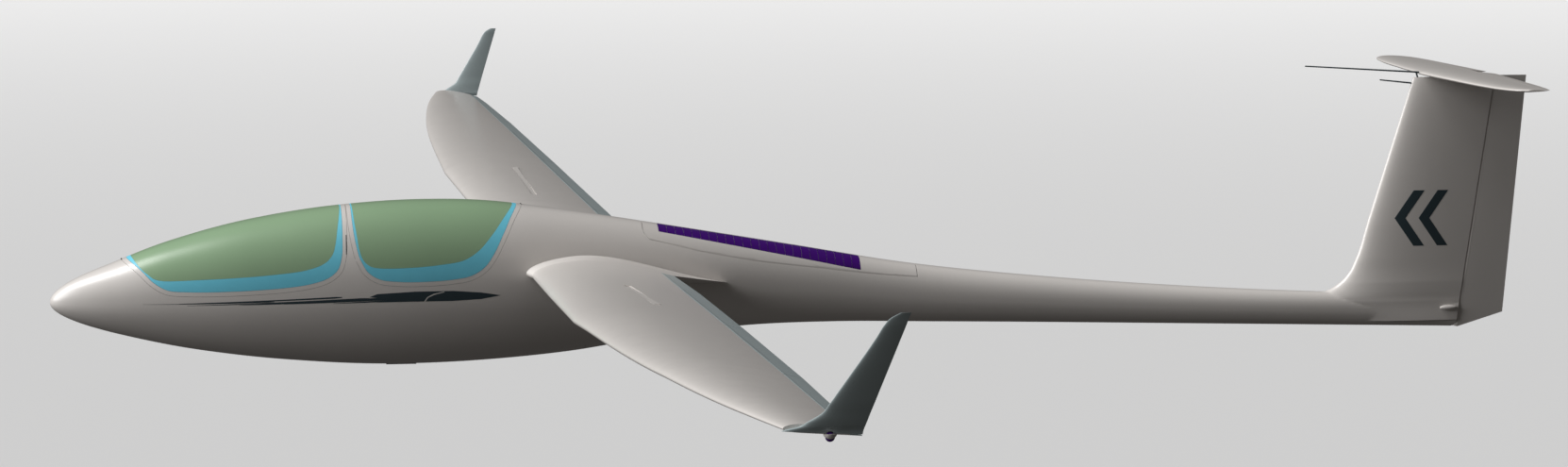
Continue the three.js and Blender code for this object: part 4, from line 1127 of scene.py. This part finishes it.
def drive_motor():
    """A can motor: two end bells and a wider middle with cooling grooves between them."""
    front, rear = np.array([939, 0, 4.0]), np.array([999, 0, -2.0])
    body = rod(front, rear, 12.8, sides=64)
    for first, last in ((0, 0.2), (0.26, 0.48), (0.52, 0.78), (0.84, 1)):
        body = join(body, rod(mix(front, rear, first), mix(front, rear, last), 15, sides=64))
    for i in range(8):
        turn = radians(45 * i)
        offset = np.array([0, 9.5 * cos(turn), 9.5 * sin(turn)])
        body = cut(body, rod(front + offset - (1, 0, 0), front + offset + (3, 0, 0), 1.9, sides=20))
    return body


def pylon_arm():
    (x0, z0), (x1, z1) = (925, 34), (1270, -2)
    arm = prism([(x0, z0 - 9), (x1, z1 - 6), (x1, z1 + 6), (x0, z0 + 9)], -8, 8)
    for t in np.linspace(0.12, 0.8, 9):
        x, z = mix(x0, x1, t), mix(z0, z1, t)
        arm = cut(arm, rod((x, -10, z), (x, 10, z), mix(5.2, 3.6, t), sides=40))
    arm = join(arm, block((x0 - 6, -24, z0 - 5), (x0 + 6, 24, z0 + 5)))
    return cut(arm, block((x1 - 40, -4, -60), (x1 + 10, 4, 60)))


def propeller():
    """A two-blade propeller folded along the bay, its hub bolted through."""
    stops = [0, 0.2, 0.6, 1]
    hub_x, blade_z = 1120, 42
    hub = rod((hub_x, 0, 36), (hub_x, 0, 47), 8, sides=64)
    for i in range(4):
        turn = radians(45 + 90 * i)
        x, y = hub_x + 4.6 * cos(turn), 4.6 * sin(turn)
        hub = cut(hub, rod((x, y, 45), (x, y, 50), 1.2, sides=20))
    angle = full_turn(32)
    for to_x, to_z in ((965, 61), (1262, 25)):
        rings = []
        for t in np.linspace(0, 1, 40):
            width = float(hermite(stops, [7, 13, 12, 4], t))
            thick = mix(4, 1.5, t)
            x, z = mix(hub_x, to_x, t), mix(blade_z, to_z, t)
            rings.append(points_at(x, width * np.cos(angle), z + thick / 2 * np.sin(angle)))
        hub = join(hub, loft(rings))
    return hub


def equipment():
    place("battery_body", battery_pack(), PLASTIC, ["battery_pack"], bevel=0.8)
    place("receiver_case", receiver(), PLASTIC, ["receiver"], bevel=0.5)
    for name, x in (("rudder_servo", 1330), ("elevator_servo", 1380)):
        made = servo((x, -10, -34), (x + 40, 10, -18))
        place(f"{name}_case", made, PLASTIC, [name], bevel=0.4)
    place("motor_can", drive_motor(), METAL, ["drive_motor"], bevel=0.4)
    place("pylon_beam", pylon_arm(), CARBON, ["pylon_arm"], bevel=0.6)
    place("propeller_blades", propeller(), WOOD, ["propeller"])


# ---- Carried-over CAD nodes ----
def finish_cad_nodes():
    finishes = {
        "front_cockpit_tub": COCKPIT_BLUE, "rear_cockpit_tub": COCKPIT_BLUE, "belly_wear_plate": PLASTIC,
        "front_canopy_hinge_pin": STEEL, "rear_canopy_hinge_pin": STEEL, "wing_joiner": CARBON,
        "gear_frame": METAL, "gear_swing_arm": STEEL,
        "flap_servo_left": PLASTIC, "flap_servo_right": PLASTIC, "aileron_servo_left": PLASTIC,
        "aileron_servo_right": PLASTIC, "airbrake_left": GELCOAT, "airbrake_right": GELCOAT,
    }
    for name, finish in finishes.items():
        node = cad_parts[name]
        node.data.materials.clear()
        node.data.materials.append(finish)


# ---- Stage ----
def at(x, y, z):
    """A place in the shared frame, in metres."""
    return Vector(((x - LENGTH / 2) / 1000, y / 1000, (z + REST_DEPTH) / 1000))


def camera():
    target = at(1106.25, 0, 87.75)
    azimuth, elevation, distance = radians(-8.137), radians(5.702), 7.6118
    back = Vector((
        sin(azimuth) * cos(elevation), -cos(azimuth) * cos(elevation), sin(elevation)
    ))
    data = bpy.data.cameras.new("camera")
    data.lens = 114.89
    data.sensor_width = 36
    data.clip_end = 2000
    made = show(bpy.data.objects.new("camera", data))
    made.location = target + back * distance
    made.rotation_euler = (-back).to_track_quat("-Z", "Y").to_euler()
    bpy.context.scene.camera = made


# Metres under the model, and metres to each edge.
FLOOR_DEPTH = 1.1
FLOOR_REACH = 600


def studio():
    """A wide pale floor that brightens into the distance, a key from above and a light from ahead."""
    floor_mesh = bpy.data.meshes.new("floor")
    turns = ((-1, -1), (1, -1), (1, 1), (-1, 1))
    corners = [(x * FLOOR_REACH, y * FLOOR_REACH, -FLOOR_DEPTH) for x, y in turns]
    floor_mesh.from_pydata(corners, [], [(0, 1, 2, 3)])
    floor = show(bpy.data.objects.new("floor", floor_mesh))
    floor.visible_diffuse = False
    floor.visible_glossy = False
    paint, tree, shader = principled("floor_pale")
    shader.inputs["Roughness"].default_value = 1
    shader.inputs["Specular IOR Level"].default_value = 0
    shader.inputs["Emission Strength"].default_value = 0.16
    coords = add_node(tree, "TexCoord")
    length = add_node(tree, "VectorMath", operation="LENGTH")
    spread = add_node(tree, "MapRange", {"From Min": 2, "From Max": 45}, interpolation_type="SMOOTHERSTEP")
    tones = {"A": (0.645, 0.645, 0.645, 1), "B": (0.93, 0.93, 0.93, 1)}
    blend = add_node(tree, "Mix", tones, data_type="RGBA")
    link = tree.links.new
    link(coords.outputs["Object"], length.inputs[0])
    link(length.outputs["Value"], spread.inputs["Value"])
    link(spread.outputs["Result"], blend.inputs["Factor"])
    link(blend.outputs["Result"], shader.inputs["Base Color"])
    link(blend.outputs["Result"], shader.inputs["Emission Color"])
    floor_mesh.materials.append(paint)

    for name, energy, spread, direction in (
        ("key_light", 2.0, 30, (-0.587, 0.019, 0.809)),
        ("front_light", 2.0, 40, (-0.918, -0.14, 0.37)),
    ):
        sun = bpy.data.lights.new(name, "SUN")
        sun.energy = energy
        sun.angle = radians(spread)
        lamp = show(bpy.data.objects.new(name, sun))
        lamp.rotation_euler = Vector(direction).to_track_quat("Z", "Y").to_euler()

    world = bpy.data.worlds.new("studio")
    world.use_nodes = True
    background = world.node_tree.nodes["Background"]
    background.inputs["Color"].default_value = (0.046, 0.044, 0.042, 1)
    background.inputs["Strength"].default_value = 1
    bpy.context.scene.world = world
    bpy.context.scene.view_settings.view_transform = "Standard"


# ---- The model ----
camera()
studio()
skin_shell = shell_between(0, SKIN)
fuselage()
canopies()
wings(hull(-ROOT_GAP))
winglets()
tail()
side_decals()
fin_chevrons()
gear_doors(skin_shell)
engine_doors(skin_shell)
main_wheel()
cockpit_interiors()
equipment()
finish_cad_nodes()
